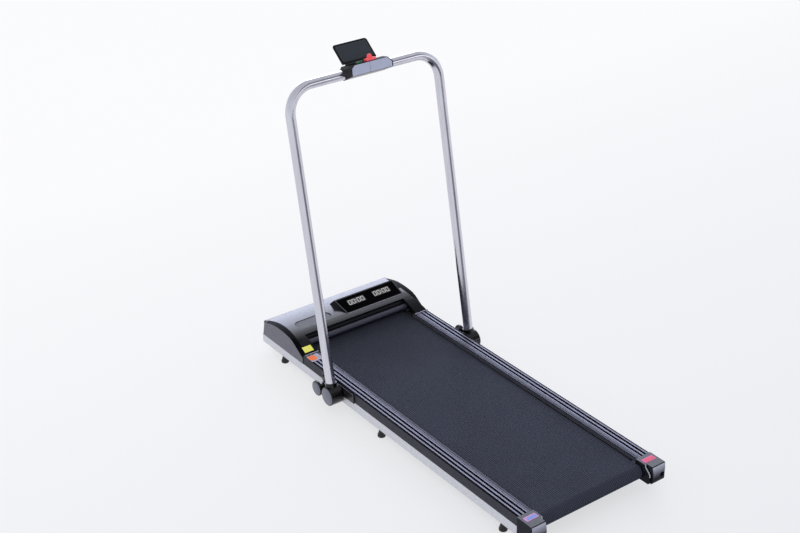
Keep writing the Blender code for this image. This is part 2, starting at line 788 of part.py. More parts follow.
def running_belt():
    loops = [belt_path(BELT_INNER_RADIUS + BELT_THICKNESS), belt_path(BELT_INNER_RADIUS)]
    across("running_belt", loops, -BELT_WIDTH / 2, BELT_WIDTH / 2, BELT)


def rollers():
    chamfer = 0.001
    profile = [
        (ROLLER_BORE, ROLLER_HALF),
        (ROLLER_RADIUS - chamfer, ROLLER_HALF),
        (ROLLER_RADIUS, ROLLER_HALF - chamfer),
        (ROLLER_RADIUS, -ROLLER_HALF + chamfer),
        (ROLLER_RADIUS - chamfer, -ROLLER_HALF),
        (ROLLER_BORE, -ROLLER_HALF),
    ]
    turned("rear_roller", profile, (0, REAR_ROLLER_Y, ROLLER_Z), "X", STEEL)
    turned("front_roller", profile, (0, FRONT_ROLLER_Y, ROLLER_Z), "X", STEEL)


def bearings():
    outer = ROLLER_BORE - SEAT_GAP
    inner = AXLE_RADIUS + SEAT_GAP
    rows = (("rear", REAR_ROLLER_Y, BEARING_DEPTH), ("front", FRONT_ROLLER_Y, FRONT_BEARING_DEPTH))
    for place, y, depth in rows:
        face = ROLLER_HALF - depth
        profile = [
            (inner, face),
            ((inner + outer) / 2, face - 0.0012),
            (outer, face),
            (outer, face - BEARING_WIDTH),
            (inner, face - BEARING_WIDTH),
        ]
        for side, sign in BOTH:
            turned(f"{place}_bearing_{side}", profile, (0, y, ROLLER_Z), outwards(sign), STEEL, 14)


def axles():
    half = REAR_AXLE_HALF
    rear = rod("rear_axle", AXLE_RADIUS, -half, half, (0, REAR_ROLLER_Y, ROLLER_Z), "X", STEEL, 20)
    for side, sign in BOTH:
        hole = rod(
            f"rear_axle_hole_{side}",
            TENSION_SCREW_RADIUS + SCREW_GAP,
            -AXLE_RADIUS - 0.002,
            AXLE_RADIUS + 0.002,
            (sign * TENSION_X, REAR_ROLLER_Y, ROLLER_Z),
            "Y",
            None,
        )
        cut(rear, hole)
    half = AXLE_EAR_X + EAR_THICKNESS
    rod("front_axle", AXLE_RADIUS, -half, half, (0, FRONT_ROLLER_Y, ROLLER_Z), "X", STEEL, 20)


def foot_rails():
    top = RAIL_TOP
    skirt = RAIL_OUTER - RAIL_WALL
    ceiling = top - RAIL_WALL
    corner = 0.0015
    profile = [
        (RAIL_OUTER, BEAM_TOP + SEAT_GAP),
        (RAIL_OUTER, top - corner),
        (RAIL_OUTER - corner, top),
    ]
    for groove in (OUTER_GROOVE, INNER_GROOVE):
        near = RAIL_OUTER - groove
        far = near - GROOVE_WIDTH
        profile += [(near, top), (near, top - GROOVE_DEPTH), (far, top - GROOVE_DEPTH), (far, top)]
    profile += [
        (RAIL_INNER + corner, top),
        (RAIL_INNER, top - corner),
        (RAIL_INNER, DECK_TOP + SEAT_GAP),
        (RAIL_INNER + RAIL_LIP, DECK_TOP + SEAT_GAP),
        (RAIL_INNER + RAIL_LIP, ceiling),
        (skirt, ceiling),
        (skirt, BEAM_TOP + SEAT_GAP),
    ]
    for side, sign in BOTH:
        loop = [(sign * x, z) for x, z in profile]
        lengthwise(f"foot_rail_{side}", [loop], CAP_FRONT + SEAT_GAP, RAIL_FRONT, RAIL)


def cap_point(ahead, height):
    """A point of a cap's side view, from its top rear edge."""
    return (CAP_REAR + ahead, RAIL_TOP + height)


def end_caps():
    front = CAP_LENGTH
    body_loop = rounded(
        [
            cap_point(0.0, 0.0),
            cap_point(-CAP_BULGE, -0.019),
            cap_point(-CAP_BULGE, -0.048),
            cap_point(0.0, -CAP_HEIGHT),
            cap_point(front, -CAP_HEIGHT),
            cap_point(front, 0.0),
        ],
        [0.003, 0.010, 0.010, 0.003, 0.0, 0.0],
    )
    flange_loop = [cap_point(0.0225, 0.0)] + [cap_point(*point) for point in FLANGE_SWEEP]
    flange_loop += [cap_point(0.0023, -CAP_HEIGHT + 0.004), cap_point(0.006, -CAP_HEIGHT)]
    flange_loop += [cap_point(front, -CAP_HEIGHT), cap_point(front, 0.0)]
    web_loop = [
        cap_point(0.0230, -0.0003),
        cap_point(0.0265, -0.0120),
        cap_point(0.0170, -0.0230),
        cap_point(0.0100, -0.0360),
        cap_point(0.0100, -CAP_HEIGHT + 0.003),
        cap_point(front - 0.0005, -CAP_HEIGHT + 0.003),
        cap_point(front - 0.0005, -0.0003),
    ]
    slot_height = AXLE_RADIUS + SEAT_GAP
    slot_loop = [(CAP_FRONT + 0.01, ROLLER_Z + slot_height)]
    slot_loop += arc((REAR_ROLLER_Y, ROLLER_Z), slot_height, 90, 270, 8)
    slot_loop.append((CAP_FRONT + 0.01, ROLLER_Z - slot_height))
    body_inner = RAIL_INNER + CAP_FLANGE + CAP_GROOVE
    wall = BEAM_WALL + SEAT_GAP
    for side, sign in BOTH:
        name = f"end_cap_{side}"
        inner = sign * RAIL_INNER
        cap = across(name, [body_loop], sign * body_inner, sign * CAP_OUTER, CAP)
        web = across(f"{name}_web", [web_loop], inner + sign * 0.002, sign * (body_inner + 0.002), None)
        flange = across(f"{name}_flange", [flange_loop], inner, inner + sign * CAP_FLANGE, None)
        join(cap, web, flange)
        slot_end = sign * (REAR_AXLE_HALF + SEAT_GAP)
        slot = across(f"{name}_slot", [slot_loop], inner - sign * 0.01, slot_end, None)
        centre = (sign * TENSION_X, 0, ROLLER_Z)
        seat = CAP_REAR + TENSION_SEAT
        head_hole = rod(f"{name}_head_hole", TENSION_BORE_RADIUS, REAR - 0.01, seat, centre, "Y", None, 20)
        shank = TENSION_SCREW_RADIUS + RUNNING_GAP
        shank_hole = rod(f"{name}_shank_hole", shank, seat - 0.001, REAR_ROLLER_Y, centre, "Y", None)
        cut(cap, slot, head_hole, shank_hole)
        tongue_low = max(BEAM_BOTTOM + wall, RAIL_TOP - CAP_HEIGHT + 0.002)
        low_x, high_x = sorted((sign * (BEAM_INNER + wall), sign * (RAIL_OUTER - wall)))
        tongue = box(
            f"{name}_tongue",
            (low_x, CAP_FRONT - 0.002, tongue_low),
            (high_x, CAP_FRONT + CAP_TONGUE, BEAM_TOP - wall),
            None,
        )
        join(cap, tongue)
        cut(cap, cap_corner(side, sign))


def cap_corner(side, sign):
    """What the rounding takes off a cap's rear outer corner: the folded handlebar's bend passes round it."""
    skin = 0.0001
    outer, rear = CAP_OUTER + skin, REAR - skin
    centre = (outer - CAP_CORNER, rear + CAP_CORNER)
    loop = arc(centre, CAP_CORNER, 270, 360, 6)
    loop += [(outer + CUT_MARGIN, centre[1]), (outer + CUT_MARGIN, rear - CUT_MARGIN)]
    loop.append((centre[0], rear - CUT_MARGIN))
    loop = [(sign * x, y) for x, y in loop]
    low = RAIL_TOP - CAP_HEIGHT - CUT_MARGIN
    return outline(f"end_cap_{side}_corner", [loop], low, RAIL_TOP + CUT_MARGIN, None)


def tension_screws():
    seat = TENSION_SEAT - SEAT_GAP
    head = seat - TENSION_HEAD_HEIGHT
    tip = REAR_ROLLER_INSET + AXLE_RADIUS + 0.0015
    socket = 0.003
    profile = [
        (0.0, tip),
        (TENSION_SCREW_RADIUS, tip),
        (TENSION_SCREW_RADIUS, seat),
        (TENSION_HEAD_RADIUS, seat),
        (TENSION_HEAD_RADIUS, head),
        (socket, head),
        (socket, head + 0.004),
        (0.0, head + 0.004),
    ]
    for side, sign in BOTH:
        turned(f"tension_screw_{side}", profile, (sign * TENSION_X, CAP_REAR, ROLLER_Z), "Y", STEEL, 14)


def hood_rings(drop, half, low, start, stop, steps, rim_step):
    """Rings across the hood from start to stop ahead of its tip, each lowered by drop and spread to half."""
    rings = []
    for step in range(steps + 1):
        along = start + (stop - start) * step / steps
        y = HOOD_TIP + along
        top = hood_height(along) - drop
        edge = panel_height(along) + PANEL_LEDGE - drop
        rim = HOOD_HALF - rim_width(along) - rim_step
        section = [(half, low), (half, edge), (min(rim, half - 0.0001), top)]
        mirrored = [(-x, z) for x, z in reversed(section)]
        rings.append([(x, y, z) for x, z in section + mirrored])
    return rings


def motor_hood():
    length = NOSE_FOOT_Y - HOOD_TIP + 0.001
    hood = loft("motor_hood", hood_rings(0.0, HOOD_HALF, HOOD_BOTTOM, 0.0, length, 18, 0.0), HOOD)
    side_inner = RAIL_OUTER - 0.0038
    centre_half = RAIL_INNER + HOOD_FOOT_INSET
    wide = HOOD_HALF + CUT_MARGIN
    tall = NOSE_TOP_Z
    low = HOOD_BOTTOM - CUT_MARGIN
    cavity = loft(
        "hood_cavity",
        hood_rings(HOOD_WALL, side_inner, low, SHELL_AHEAD, length, 14, 0.002),
        None,
    )
    ahead = box("hood_cavity_front", (-wide, -HOOD_WALL, -tall), (wide, wide, tall), None, NOSE_FRAME)
    cut(cavity, ahead)
    nose = box("hood_nose_cut", (-wide, 0.0, -tall), (wide, wide, tall), None, NOSE_FRAME)
    rail_space = box(
        "hood_rail_space",
        (-wide, HOOD_TIP - CUT_MARGIN, low),
        (wide, PANEL_REAR - SEAT_GAP, RAIL_TOP + SEAT_GAP),
        None,
    )
    # Behind the lip: a hollow above a round bar, and clear space below it
    lip = (HOOD_TIP + LIP_AHEAD, BELT_TOP + LIP_LIFT + LIP_RADIUS)
    crest = HOOD_TIP + CREST_AHEAD
    crest_top = hood_height(CREST_AHEAD)
    above = RAIL_TOP + 0.08
    behind = [(HOOD_TIP - 0.02, low), (HOOD_TIP - 0.02, above), (crest - 0.001, above)]
    behind += [(crest, crest_top - 0.001), (crest + 0.002, crest_top - 0.008)]
    behind.append((crest - 0.0015, lip[1] + LIP_RADIUS + 0.0015))
    behind += arc(lip, LIP_RADIUS, 75, 270, 12)
    behind.append((HOOD_TIP + SHELL_AHEAD + 0.001, lip[1] - LIP_RADIUS))
    behind.append((HOOD_TIP + SHELL_AHEAD + 0.001, low))
    notch = across("hood_notch", [behind], -centre_half, centre_half, None)
    cut(hood, nose, cavity, rail_space, notch)
    clear = ROLLER_HALF + 0.0015
    for side, sign in BOTH:
        low_x, high_x = sorted((sign * clear, sign * side_inner))
        space = box(
            f"hood_side_space_{side}",
            (low_x, HOOD_TIP - 0.01, low),
            (high_x, HOOD_TIP + SHELL_AHEAD + 0.01, RAIL_TOP + SEAT_GAP),
            None,
        )
        rebate = across(
            f"hood_rebate_{side}",
            [panel_loop(SEAT_GAP, SEAT_GAP)],
            sign * (HOOD_HALF - PANEL_THICKNESS - SEAT_GAP),
            sign * (HOOD_HALF + 0.01),
            None,
        )
        cut(hood, space, rebate)
    join(hood, display_wedge())
    cut(hood, window_recess(), hood_recess())
    cut(hood, inlet_body("inlet_hole", None, SEAT_GAP, INLET_DEPTH))


def panel_loop(grow, extend):
    """The side panel's outline in (y, z)."""
    rear = PANEL_REAR - extend
    start = rear - HOOD_TIP
    stop = HOOD_TOP_LINE[-1][0] - 0.0015 + extend
    steps = 16
    bottom = HOOD_BOTTOM - 30 * extend
    loop = [(rear, bottom)]
    for step in range(steps + 1):
        along = start + (stop - start) * step / steps
        loop.append((HOOD_TIP + along, panel_height(along) + grow))
    foot_y = NOSE_FOOT_Y - 0.0015 + extend
    if extend:
        loop.append((NOSE_FOOT_Y + 0.02, loop[-1][1]))
        foot_y = NOSE_FOOT_Y + 0.02
    loop.append((foot_y, bottom))
    return loop


def hood_sides():
    notch = 0.043
    for side, sign in BOTH:
        name = f"hood_side_{side}"
        loop = panel_loop(0.0, 0.0)
        foot = HOOD_TIP + notch
        loop += [(foot + 0.006, HOOD_BOTTOM), (foot + 0.003, HOOD_BOTTOM + 0.005), (foot, HOOD_BOTTOM)]
        across(name, [loop], sign * (HOOD_HALF - PANEL_THICKNESS), sign * HOOD_HALF, HOOD_SIDE)


def display_wedge():
    """The raised block under the display window, its left end cut at a slant."""
    depth = DISPLAY_DEPTH
    rise = math.sin(DISPLAY_TILT) * depth
    run = math.cos(DISPLAY_TILT) * depth
    foot = DISPLAY_FRAME.translation
    back = DISPLAY_FOOT + run + 0.029
    side_view = [
        (foot.y, foot.z - 0.0002),
        (foot.y + run, foot.z + rise),
        (HOOD_TIP + back, hood_height(back) - 0.0005),
        (HOOD_TIP + back - 0.003, hood_height(back) - HOOD_WALL),
        (foot.y + 0.004, foot.z - HOOD_WALL),
    ]
    left = [(DISPLAY_LEFT + DISPLAY_SKEW * max(0.0, 1 - (y - foot.y) / run), y, z) for y, z in side_view]
    right = [(DISPLAY_RIGHT, y, z) for y, z in side_view]
    return loft("display_wedge", [left, right], None)


def window_outline(grow):
    margin = WINDOW_MARGIN - grow
    skewed = DISPLAY_LEFT + DISPLAY_SKEW
    corners = [
        (skewed + margin, margin),
        (DISPLAY_RIGHT - margin, margin),
        (DISPLAY_RIGHT - margin, DISPLAY_DEPTH - margin),
        (DISPLAY_LEFT + margin, DISPLAY_DEPTH - margin),
    ]
    return rounded(corners, [0.003] * 4, 3)


def window_recess():
    depth = WINDOW_THICKNESS + SEAT_GAP
    return outline("window_recess", [window_outline(SEAT_GAP)], -depth, 0.01, None, DISPLAY_FRAME)


def display_window():
    outline("display_window", [window_outline(0.0)], -WINDOW_THICKNESS, 0.0, WINDOW, DISPLAY_FRAME)


def hood_recess():
    """A shallow stadium-shaped recess in the hood's left half, left bare."""
    rear, front = RECESS_REAR, RECESS_FRONT
    tilt = math.atan2(hood_height(front) - hood_height(rear), front - rear)
    frame = Matrix.Translation((0, HOOD_TIP + rear, hood_height(rear))) @ Matrix.Rotation(tilt, 4, "X")
    length = (front - rear) / math.cos(tilt)
    loop = rectangle((RECESS_LEFT, 0.0), (RECESS_RIGHT, length), length / 2 - 0.0005, 8)
    return outline("hood_recess", [loop], -RECESS_DEPTH, 0.02, None, frame)


def belly_pan():
    rear = HOOD_TIP + PAN_REAR_AHEAD
    front = NOSE_REAR - PAN_FRONT_GAP
    half = BEAM_INNER - 0.0006
    floor = rectangle((-half, rear), (half, front), 0.003, 2)
    slots = []
    for row in range(PAN_SLOTS):
        x = PAN_SLOT_PITCH * (row - (PAN_SLOTS - 1) / 2)
        slots.append(rectangle((x - 0.002, MOTOR_Y - 0.028), (x + 0.002, MOTOR_Y + 0.028), 0.0015, 2))
    pan = outline("belly_pan", [floor, *slots], PAN_BOTTOM, PAN_BOTTOM + PAN_FLOOR, PLASTIC)
    inner = rectangle((-half + PAN_FLOOR, rear + PAN_FLOOR), (half - PAN_FLOOR, front - PAN_FLOOR), 0.001, 2)
    wall = outline("belly_pan_wall", [floor, inner], PAN_BOTTOM + 0.001, PAN_BOTTOM + PAN_WALL_HEIGHT, None)
    rear_cut = box(
        "belly_pan_rear_cut",
        (-half - CUT_MARGIN, rear - CUT_MARGIN, PAN_BOTTOM + PAN_REAR_LIP),
        (half + CUT_MARGIN, rear + 0.0045, PAN_BOTTOM + PAN_WALL_HEIGHT + CUT_MARGIN),
        None,
    )
    join(pan, wall)
    cut(pan, rear_cut)


def motor():
    centre = (0, MOTOR_Y, MOTOR_HEIGHT)
    bore = MOTOR_SHAFT_RADIUS + RUNNING_GAP
    bell = 0.012
    profile = [
        (0.0, MOTOR_RIGHT - SHAFT_BORE_DEPTH),
        (bore, MOTOR_RIGHT - SHAFT_BORE_DEPTH),
        (bore, MOTOR_RIGHT),
        (0.014, MOTOR_RIGHT),
        (0.016, MOTOR_RIGHT - 0.003),
        (MOTOR_RADIUS - 0.003, MOTOR_RIGHT - 0.004),
        (MOTOR_RADIUS - 0.001, MOTOR_RIGHT - bell),
        (MOTOR_RADIUS, MOTOR_RIGHT - bell),
        (MOTOR_RADIUS, MOTOR_LEFT + bell),
        (MOTOR_RADIUS - 0.001, MOTOR_LEFT + bell),
        (MOTOR_RADIUS - 0.003, MOTOR_LEFT + 0.002),
        (0.0, MOTOR_LEFT),
    ]
    turned("motor_case", profile, centre, "X", DARK_STEEL, 20)
    flywheel_left = MOTOR_RIGHT + FLYWHEEL_SPACE
    flywheel_right = flywheel_left + FLYWHEEL_WIDTH
    shaft = MOTOR_SHAFT_RADIUS
    shaft_end = MOTOR_RIGHT - SHAFT_BORE_DEPTH + 0.005
    profile = [
        (0.0, PULLEY_RIGHT + 0.001),
        (shaft, PULLEY_RIGHT + 0.001),
        (shaft, flywheel_right),
        (0.012, flywheel_right),
        (0.014, flywheel_right - 0.003),
        (FLYWHEEL_RADIUS - 0.005, flywheel_right - 0.003),
        (FLYWHEEL_RADIUS - 0.004, flywheel_right),
        (FLYWHEEL_RADIUS, flywheel_right),
        (FLYWHEEL_RADIUS, flywheel_left),
        (shaft, flywheel_left),
        (shaft, shaft_end),
        (0.0, shaft_end),
    ]
    turned("motor_flywheel", profile, centre, "X", STEEL, 20)
    bracket()


def bracket():
    """A saddle under the motor, standing on the belly pan."""
    foot = PAN_BOTTOM + PAN_FLOOR + SEAT_GAP
    seat = MOTOR_RADIUS + SEAT_GAP
    top = MOTOR_HEIGHT - 0.026
    spread = math.degrees(math.acos((MOTOR_HEIGHT - top) / seat))
    rear, front = MOTOR_Y - SADDLE_HALF_DEPTH, MOTOR_Y + SADDLE_HALF_DEPTH
    loop = [(front, top), (front, foot), (rear, foot), (rear, top)]
    loop += arc((MOTOR_Y, MOTOR_HEIGHT), seat, 270 - spread, 270 + spread, 10)
    across("motor_bracket", [loop], MOTOR_LEFT + 0.03, MOTOR_RIGHT - 0.03, DARK_STEEL)


def rib_profile(radius, depth, left, right, clearance):
    """Points across a ribbed face: peaks at the radius, valleys a depth below it."""
    margin = 0.001 - clearance
    pitch = (right - left - 2 * margin) / RIB_COUNT
    points = [(radius, left), (radius, left + margin)]
    for rib in range(RIB_COUNT):
        start = left + margin + pitch * rib
        points += [(radius - depth, start + pitch * 0.40), (radius - depth, start + pitch * 0.60)]
        points.append((radius, start + pitch))
    points.append((radius, right))
    return points


def pulleys():
    bore = AXLE_RADIUS + 0.001
    spigot = ROLLER_BORE - SEAT_GAP
    spigot_end = ROLLER_HALF - 0.009
    profile = rib_profile(ROLLER_PULLEY_RADIUS, RIB_DEPTH + 0.0002, PULLEY_LEFT, PULLEY_RIGHT, 0.0)
    profile = profile[::-1]
    profile += [
        (spigot, PULLEY_LEFT),
        (spigot, spigot_end),
        (bore, spigot_end),
        (bore, PULLEY_RIGHT),
    ]
    turned("roller_pulley", profile, (0, FRONT_ROLLER_Y, ROLLER_Z), "X", STEEL, 18)
    bore = MOTOR_SHAFT_RADIUS + SEAT_GAP
    profile = rib_profile(MOTOR_PULLEY_RADIUS, RIB_DEPTH + 0.0002, PULLEY_LEFT, PULLEY_RIGHT, 0.0)
    profile = profile[::-1]
    profile += [(bore, PULLEY_LEFT), (bore, PULLEY_RIGHT)]
    turned("motor_pulley", profile, (0, MOTOR_Y, MOTOR_HEIGHT), "X", STEEL, 14)


def drive_belt():
    """The ribbed belt round both pulleys: its section carried along the two arcs and the straight runs."""
    big = Vector((FRONT_ROLLER_Y, ROLLER_Z))
    small = Vector((MOTOR_Y, MOTOR_HEIGHT))
    line = small - big
    heading = math.degrees(math.atan2(line.y, line.x))
    wrap = math.degrees(math.acos((ROLLER_PULLEY_RADIUS - MOTOR_PULLEY_RADIUS) / line.length))
    stations = []
    for centre, radius, start, end, steps in (
        (big, ROLLER_PULLEY_RADIUS, heading + wrap, heading + 360 - wrap, 14),
        (small, MOTOR_PULLEY_RADIUS, heading - wrap, heading + wrap, 7),
    ):
        for step in range(steps + 1):
            angle = math.radians(start + (end - start) * step / steps)
            stations.append((centre, radius, Vector((math.cos(angle), math.sin(angle)))))
    left = PULLEY_LEFT + 0.0012
    right = PULLEY_RIGHT - 0.0012
    rings = []
    for centre, radius, outward in stations:
        inner = radius + RUNNING_GAP + 0.0002
        section = [(inner + DRIVE_BELT_BACK, left), (inner + DRIVE_BELT_BACK, right)]
        pitch = (PULLEY_WIDTH - 0.002) / RIB_COUNT
        section.append((inner, right))
        for rib in reversed(range(RIB_COUNT)):
            middle = PULLEY_LEFT + 0.001 + pitch * rib + pitch / 2
            section += [(inner - RIB_DEPTH, middle + 0.00025), (inner - RIB_DEPTH, middle - 0.00025)]
            if rib:
                section.append((inner, middle - pitch / 2))
        section.append((inner, left))
        ring = []
        for distance, x in section:
            spot = centre + outward * distance
            ring.append((x, spot.x, spot.y))
        rings.append(ring)
    closed_loft("drive_belt", rings, RUBBER)


def closed_loft(name, rings, material):
    """A ring-shaped solid through sections, the last joined to the first."""
    builder = bmesh.new()
    rows = [[builder.verts.new(point) for point in ring] for ring in rings]
    for lower, upper in zip(rows, rows[1:] + rows[:1]):
        for i in range(len(lower)):
            j = (i + 1) % len(lower)
            builder.faces.new((lower[i], lower[j], upper[j], upper[i]))
    bmesh.ops.recalc_face_normals(builder, faces=builder.faces)
    mesh = bpy.data.meshes.new(name)
    builder.to_mesh(mesh)
    builder.free()
    return add(name, mesh, material)


def motor_controller():
    """A finned heat sink with the control board's housing under it."""
    base = PAN_BOTTOM + PAN_FLOOR + SEAT_GAP
    left, right = CONTROLLER_LEFT, CONTROLLER_RIGHT
    shelf, top = base + CONTROLLER_BASE, base + CONTROLLER_HEIGHT
    pitch = (right - left) / (FIN_COUNT - 0.5)
    loop = [(right, base), (right, top)]
    for fin in range(FIN_COUNT):
        x = right - pitch * fin
        loop += [(x - pitch / 2, top), (x - pitch / 2, shelf)]
        if fin < FIN_COUNT - 1:
            loop += [(x - pitch, shelf), (x - pitch, top)]
    loop.pop()
    loop.append((left, base))
    reach = CONTROLLER_HALF_DEPTH
    lengthwise("motor_controller", [loop], MOTOR_Y - reach, MOTOR_Y + reach, ALUMINIUM)


def inlet_body(name, material, grow, depth):
    """The inlet's body, a box through the hood's front wall."""
    half_x = INLET_WIDTH / 2 + grow
    half_z = INLET_HEIGHT / 2 + grow
    low = (INLET_X - half_x, -depth, -half_z)
    high = (INLET_X + half_x, SEAT_GAP + 0.001, half_z)
    return box(name, low, high, material, NOSE_FRAME)


def power_inlet():
    body = inlet_body("power_inlet", PLASTIC, 0.0, INLET_DEPTH)
    half_x = INLET_WIDTH / 2 + INLET_FLANGE
    half_z = INLET_HEIGHT / 2 + INLET_FLANGE
    flange_loop = rectangle((INLET_X - half_x, -half_z), (INLET_X + half_x, half_z), 0.003, 3)
    flange = lengthwise("inlet_flange", [flange_loop], SEAT_GAP, SEAT_GAP + 0.002, None, NOSE_FRAME)
    socket_loop = rounded(
        [
            (INLET_X - SOCKET_HALF_WIDTH, SOCKET_BOTTOM),
            (INLET_X + SOCKET_HALF_WIDTH, SOCKET_BOTTOM),
            (INLET_X + SOCKET_HALF_WIDTH, SOCKET_TOP),
            (INLET_X - SOCKET_HALF_WIDTH, SOCKET_TOP),
        ],
        [0.0, 0.0, 0.004, 0.004],
        2,
    )
    socket = lengthwise("inlet_socket", [socket_loop], -SOCKET_DEPTH, 0.01, None, NOSE_FRAME)
    half_rocker = ROCKER_WIDTH / 2 + RUNNING_GAP
    well = box(
        "rocker_well",
        (INLET_X - half_rocker, -0.0105, 0.0015),
        (INLET_X + half_rocker, 0.01, 0.0220),
        None,
        NOSE_FRAME,
    )
    reach = half_rocker + 0.0015
    bore = ROCKER_PIN_RADIUS + RUNNING_GAP
    pin_hole = rod("rocker_pin_hole", bore, -reach, reach, ROCKER_PIVOT, "X", None, 12, NOSE_FRAME)
    join(body, flange)
    cut(body, socket, well, pin_hole)


def rocker_switch():
    frame = NOSE_FRAME @ Matrix.Translation(ROCKER_PIVOT) @ Matrix.Rotation(-ROCKER_TILT, 4, "X")
    half = ROCKER_WIDTH / 2
    top = ROCKER_HALF_HEIGHT
    face = [(-0.004, -top), (0.0048, -top), (0.0030, 0.0), (0.0048, top), (-0.004, top)]
    rocker = across("rocker_switch", [face], -half, half, PLASTIC, frame)
    reach = half + 0.0013
    trunnion = rod("rocker_trunnion", ROCKER_PIN_RADIUS, -reach, reach, (0, 0, 0), "X", None, 12, frame)
    join(rocker, trunnion)


def hinge_brackets():
    """Plates on the rails' outer sides, rounded down round the hinge pin and the knob's screw."""
    low, high = BEAM_TOP - 0.002, RAIL_TOP - 0.005
    hub = (HUB_Y, HUB_Z)
    knob = (KNOB_Y, KNOB_Z)
    hub_lobe = PIN_RADIUS + 0.0085
    knob_lobe = KNOB_SCREW_RADIUS + 0.008
    rear, front = HUB_Y - BRACKET_REAR_REACH, KNOB_Y + BRACKET_FRONT_REACH
    loop = [(rear, low), (HUB_Y - hub_lobe - 0.004, low)]
    loop += arc(hub, hub_lobe, 190, 350, 8)
    loop.append((HUB_Y + hub_lobe + 0.004, low))
    loop.append((KNOB_Y - knob_lobe - 0.003, low))
    loop += arc(knob, knob_lobe, 195, 345, 6)
    loop += [(front, low + 0.004), (front, high), (rear, high)]
    pin_hole = circle(hub, PIN_RADIUS + SEAT_GAP, 20)
    screw_hole = circle(knob, KNOB_SCREW_RADIUS + SEAT_GAP, 16)
    for side, sign in BOTH:
        name = f"hinge_bracket_{side}"
        across(name, [loop, pin_hole, screw_hole], sign * BRACKET_INNER, sign * BRACKET_OUTER, BLACK_STEEL)


def hinge_pins():
    end = HUB_OUTER - PIN_COVER
    chamfer = 0.001
    profile = [
        (0.0, end),
        (PIN_RADIUS - chamfer, end),
        (PIN_RADIUS, end - chamfer),
        (PIN_RADIUS, BRACKET_INNER),
        (0.0, BRACKET_INNER),
    ]
    for side, sign in BOTH:
        turned(f"hinge_pin_{side}", profile, (0, HUB_Y, HUB_Z), outwards(sign), STEEL, 20)


def lug_loop():
    """The lock hook in (y, z): it reaches over the knob's screw and opens downwards, so that it lifts off."""
    slot = KNOB_SCREW_RADIUS + RUNNING_GAP + 0.0001
    low = KNOB_Z - 0.011
    end = KNOB_Y + slot + 0.0075
    relief = 0.0014
    loop = [(HUB_Y, HUB_Z - 0.013), (KNOB_Y - slot - relief, low)]
    loop += arc((KNOB_Y, KNOB_Z), slot, 180, 0, 8)
    loop += [(KNOB_Y + slot, low), (end - 0.002, low), (end, low + 0.003)]
    loop += [(end, KNOB_Z + 0.006), (end - 0.006, KNOB_Z + 0.0125), (HUB_Y, HUB_Z + 0.015)]
    return loop


def hinge_arms():
    """Moving hubs: a drum on the pin, a sleeve for the post and the lock hook, in one casting."""
    arms = []
    for side, sign in BOTH:
        name = f"hinge_arm_{side}"
        axis = outwards(sign)
        edge = HUB_ROUND
        profile = [
            (0.0, HUB_OUTER),
            (HUB_RADIUS - edge, HUB_OUTER),
            (HUB_RADIUS, HUB_OUTER - edge),
            (HUB_RADIUS, HUB_INNER + edge),
            (HUB_RADIUS - edge, HUB_INNER),
            (0.0, HUB_INNER),
        ]
        arm = turned(name, profile, (0, HUB_Y, HUB_Z), axis, HUB, 32)
        place = (sign * POST_X, POST_SHIFT, 0)
        sleeve_radius = TUBE_RADIUS + SLEEVE_WALL
        sleeve = rod(f"{name}_sleeve", sleeve_radius, 0.0, SLEEVE_TOP, place, "Z", None, 24, POST_FRAME)
        lug = across(f"{name}_lug", [lug_loop()], sign * LUG_INNER, sign * LUG_OUTER, None)
        join(arm, sleeve, lug)
        socket = rod(
            f"{name}_socket",
            TUBE_RADIUS + SEAT_GAP,
            TUBE_SEAT - SEAT_GAP,
            SLEEVE_TOP + 0.02,
            place,
            "Z",
            None,
            28,
            POST_FRAME,
        )
        pin_end = HUB_OUTER - PIN_COVER + SEAT_GAP
        pin_hole = rod(
            f"{name}_pin_hole",
            PIN_RADIUS + RUNNING_GAP,
            HUB_INNER - 0.01,
            pin_end,
            (0, HUB_Y, HUB_Z),
            axis,
            None,
            20,
        )
        cut(arm, socket, pin_hole)
        arms.append(arm)
    return arms


def lock_knobs():
    outer = RAIL_OUTER + KNOB_FACE
    inner = outer - KNOB_THICKNESS
    collar = LUG_OUTER + 0.0005
    profile = [
        (0.0, outer),
        (KNOB_RADIUS - 0.0015, outer),
        (KNOB_RADIUS, outer - 0.0015),
        (KNOB_RADIUS, inner + 0.0015),
        (KNOB_RADIUS - 0.0015, inner),
        (KNOB_STEM_RADIUS, inner),
        (KNOB_STEM_RADIUS, collar),
        (KNOB_SCREW_RADIUS, collar),
        (KNOB_SCREW_RADIUS, BRACKET_INNER + SEAT_GAP),
        (0.0, BRACKET_INNER + SEAT_GAP),
    ]
    for side, sign in BOTH:
        turned(f"lock_knob_{side}", profile, (0, KNOB_Y, KNOB_Z), outwards(sign), KNOB, 24)


def handlebar_tube():
    """The hollow U-shaped tube, drawn in the leaning plane of its posts and open at its two feet."""
    corner_x = POST_X - BEND_RADIUS
    corner_z = POST_LENGTH - BEND_RADIUS
    stations = [(-POST_X, TUBE_SEAT, 180)]
    for centre_x, start in ((-corner_x, 180), (corner_x, 90)):
        for step in range(BEND_STEPS + 1):
            angle = start - 90 * step / BEND_STEPS
            x = centre_x + BEND_RADIUS * math.cos(math.radians(angle))
            z = corner_z + BEND_RADIUS * math.sin(math.radians(angle))
            stations.append((x, z, angle))
    stations.append((POST_X, TUBE_SEAT, 0))
    rings = []
    for side in range(TUBE_SIDES):
        around = 2 * math.pi * side / TUBE_SIDES
        outside = [tube_point(station, TUBE_RADIUS, around) for station in stations]
        inside = [tube_point(station, TUBE_RADIUS - TUBE_WALL, around) for station in stations]
        rings.append(outside + inside[::-1])
    tube = closed_loft("handlebar_tube", rings, CHROME)
    tube.matrix_world = POST_FRAME
    return tube


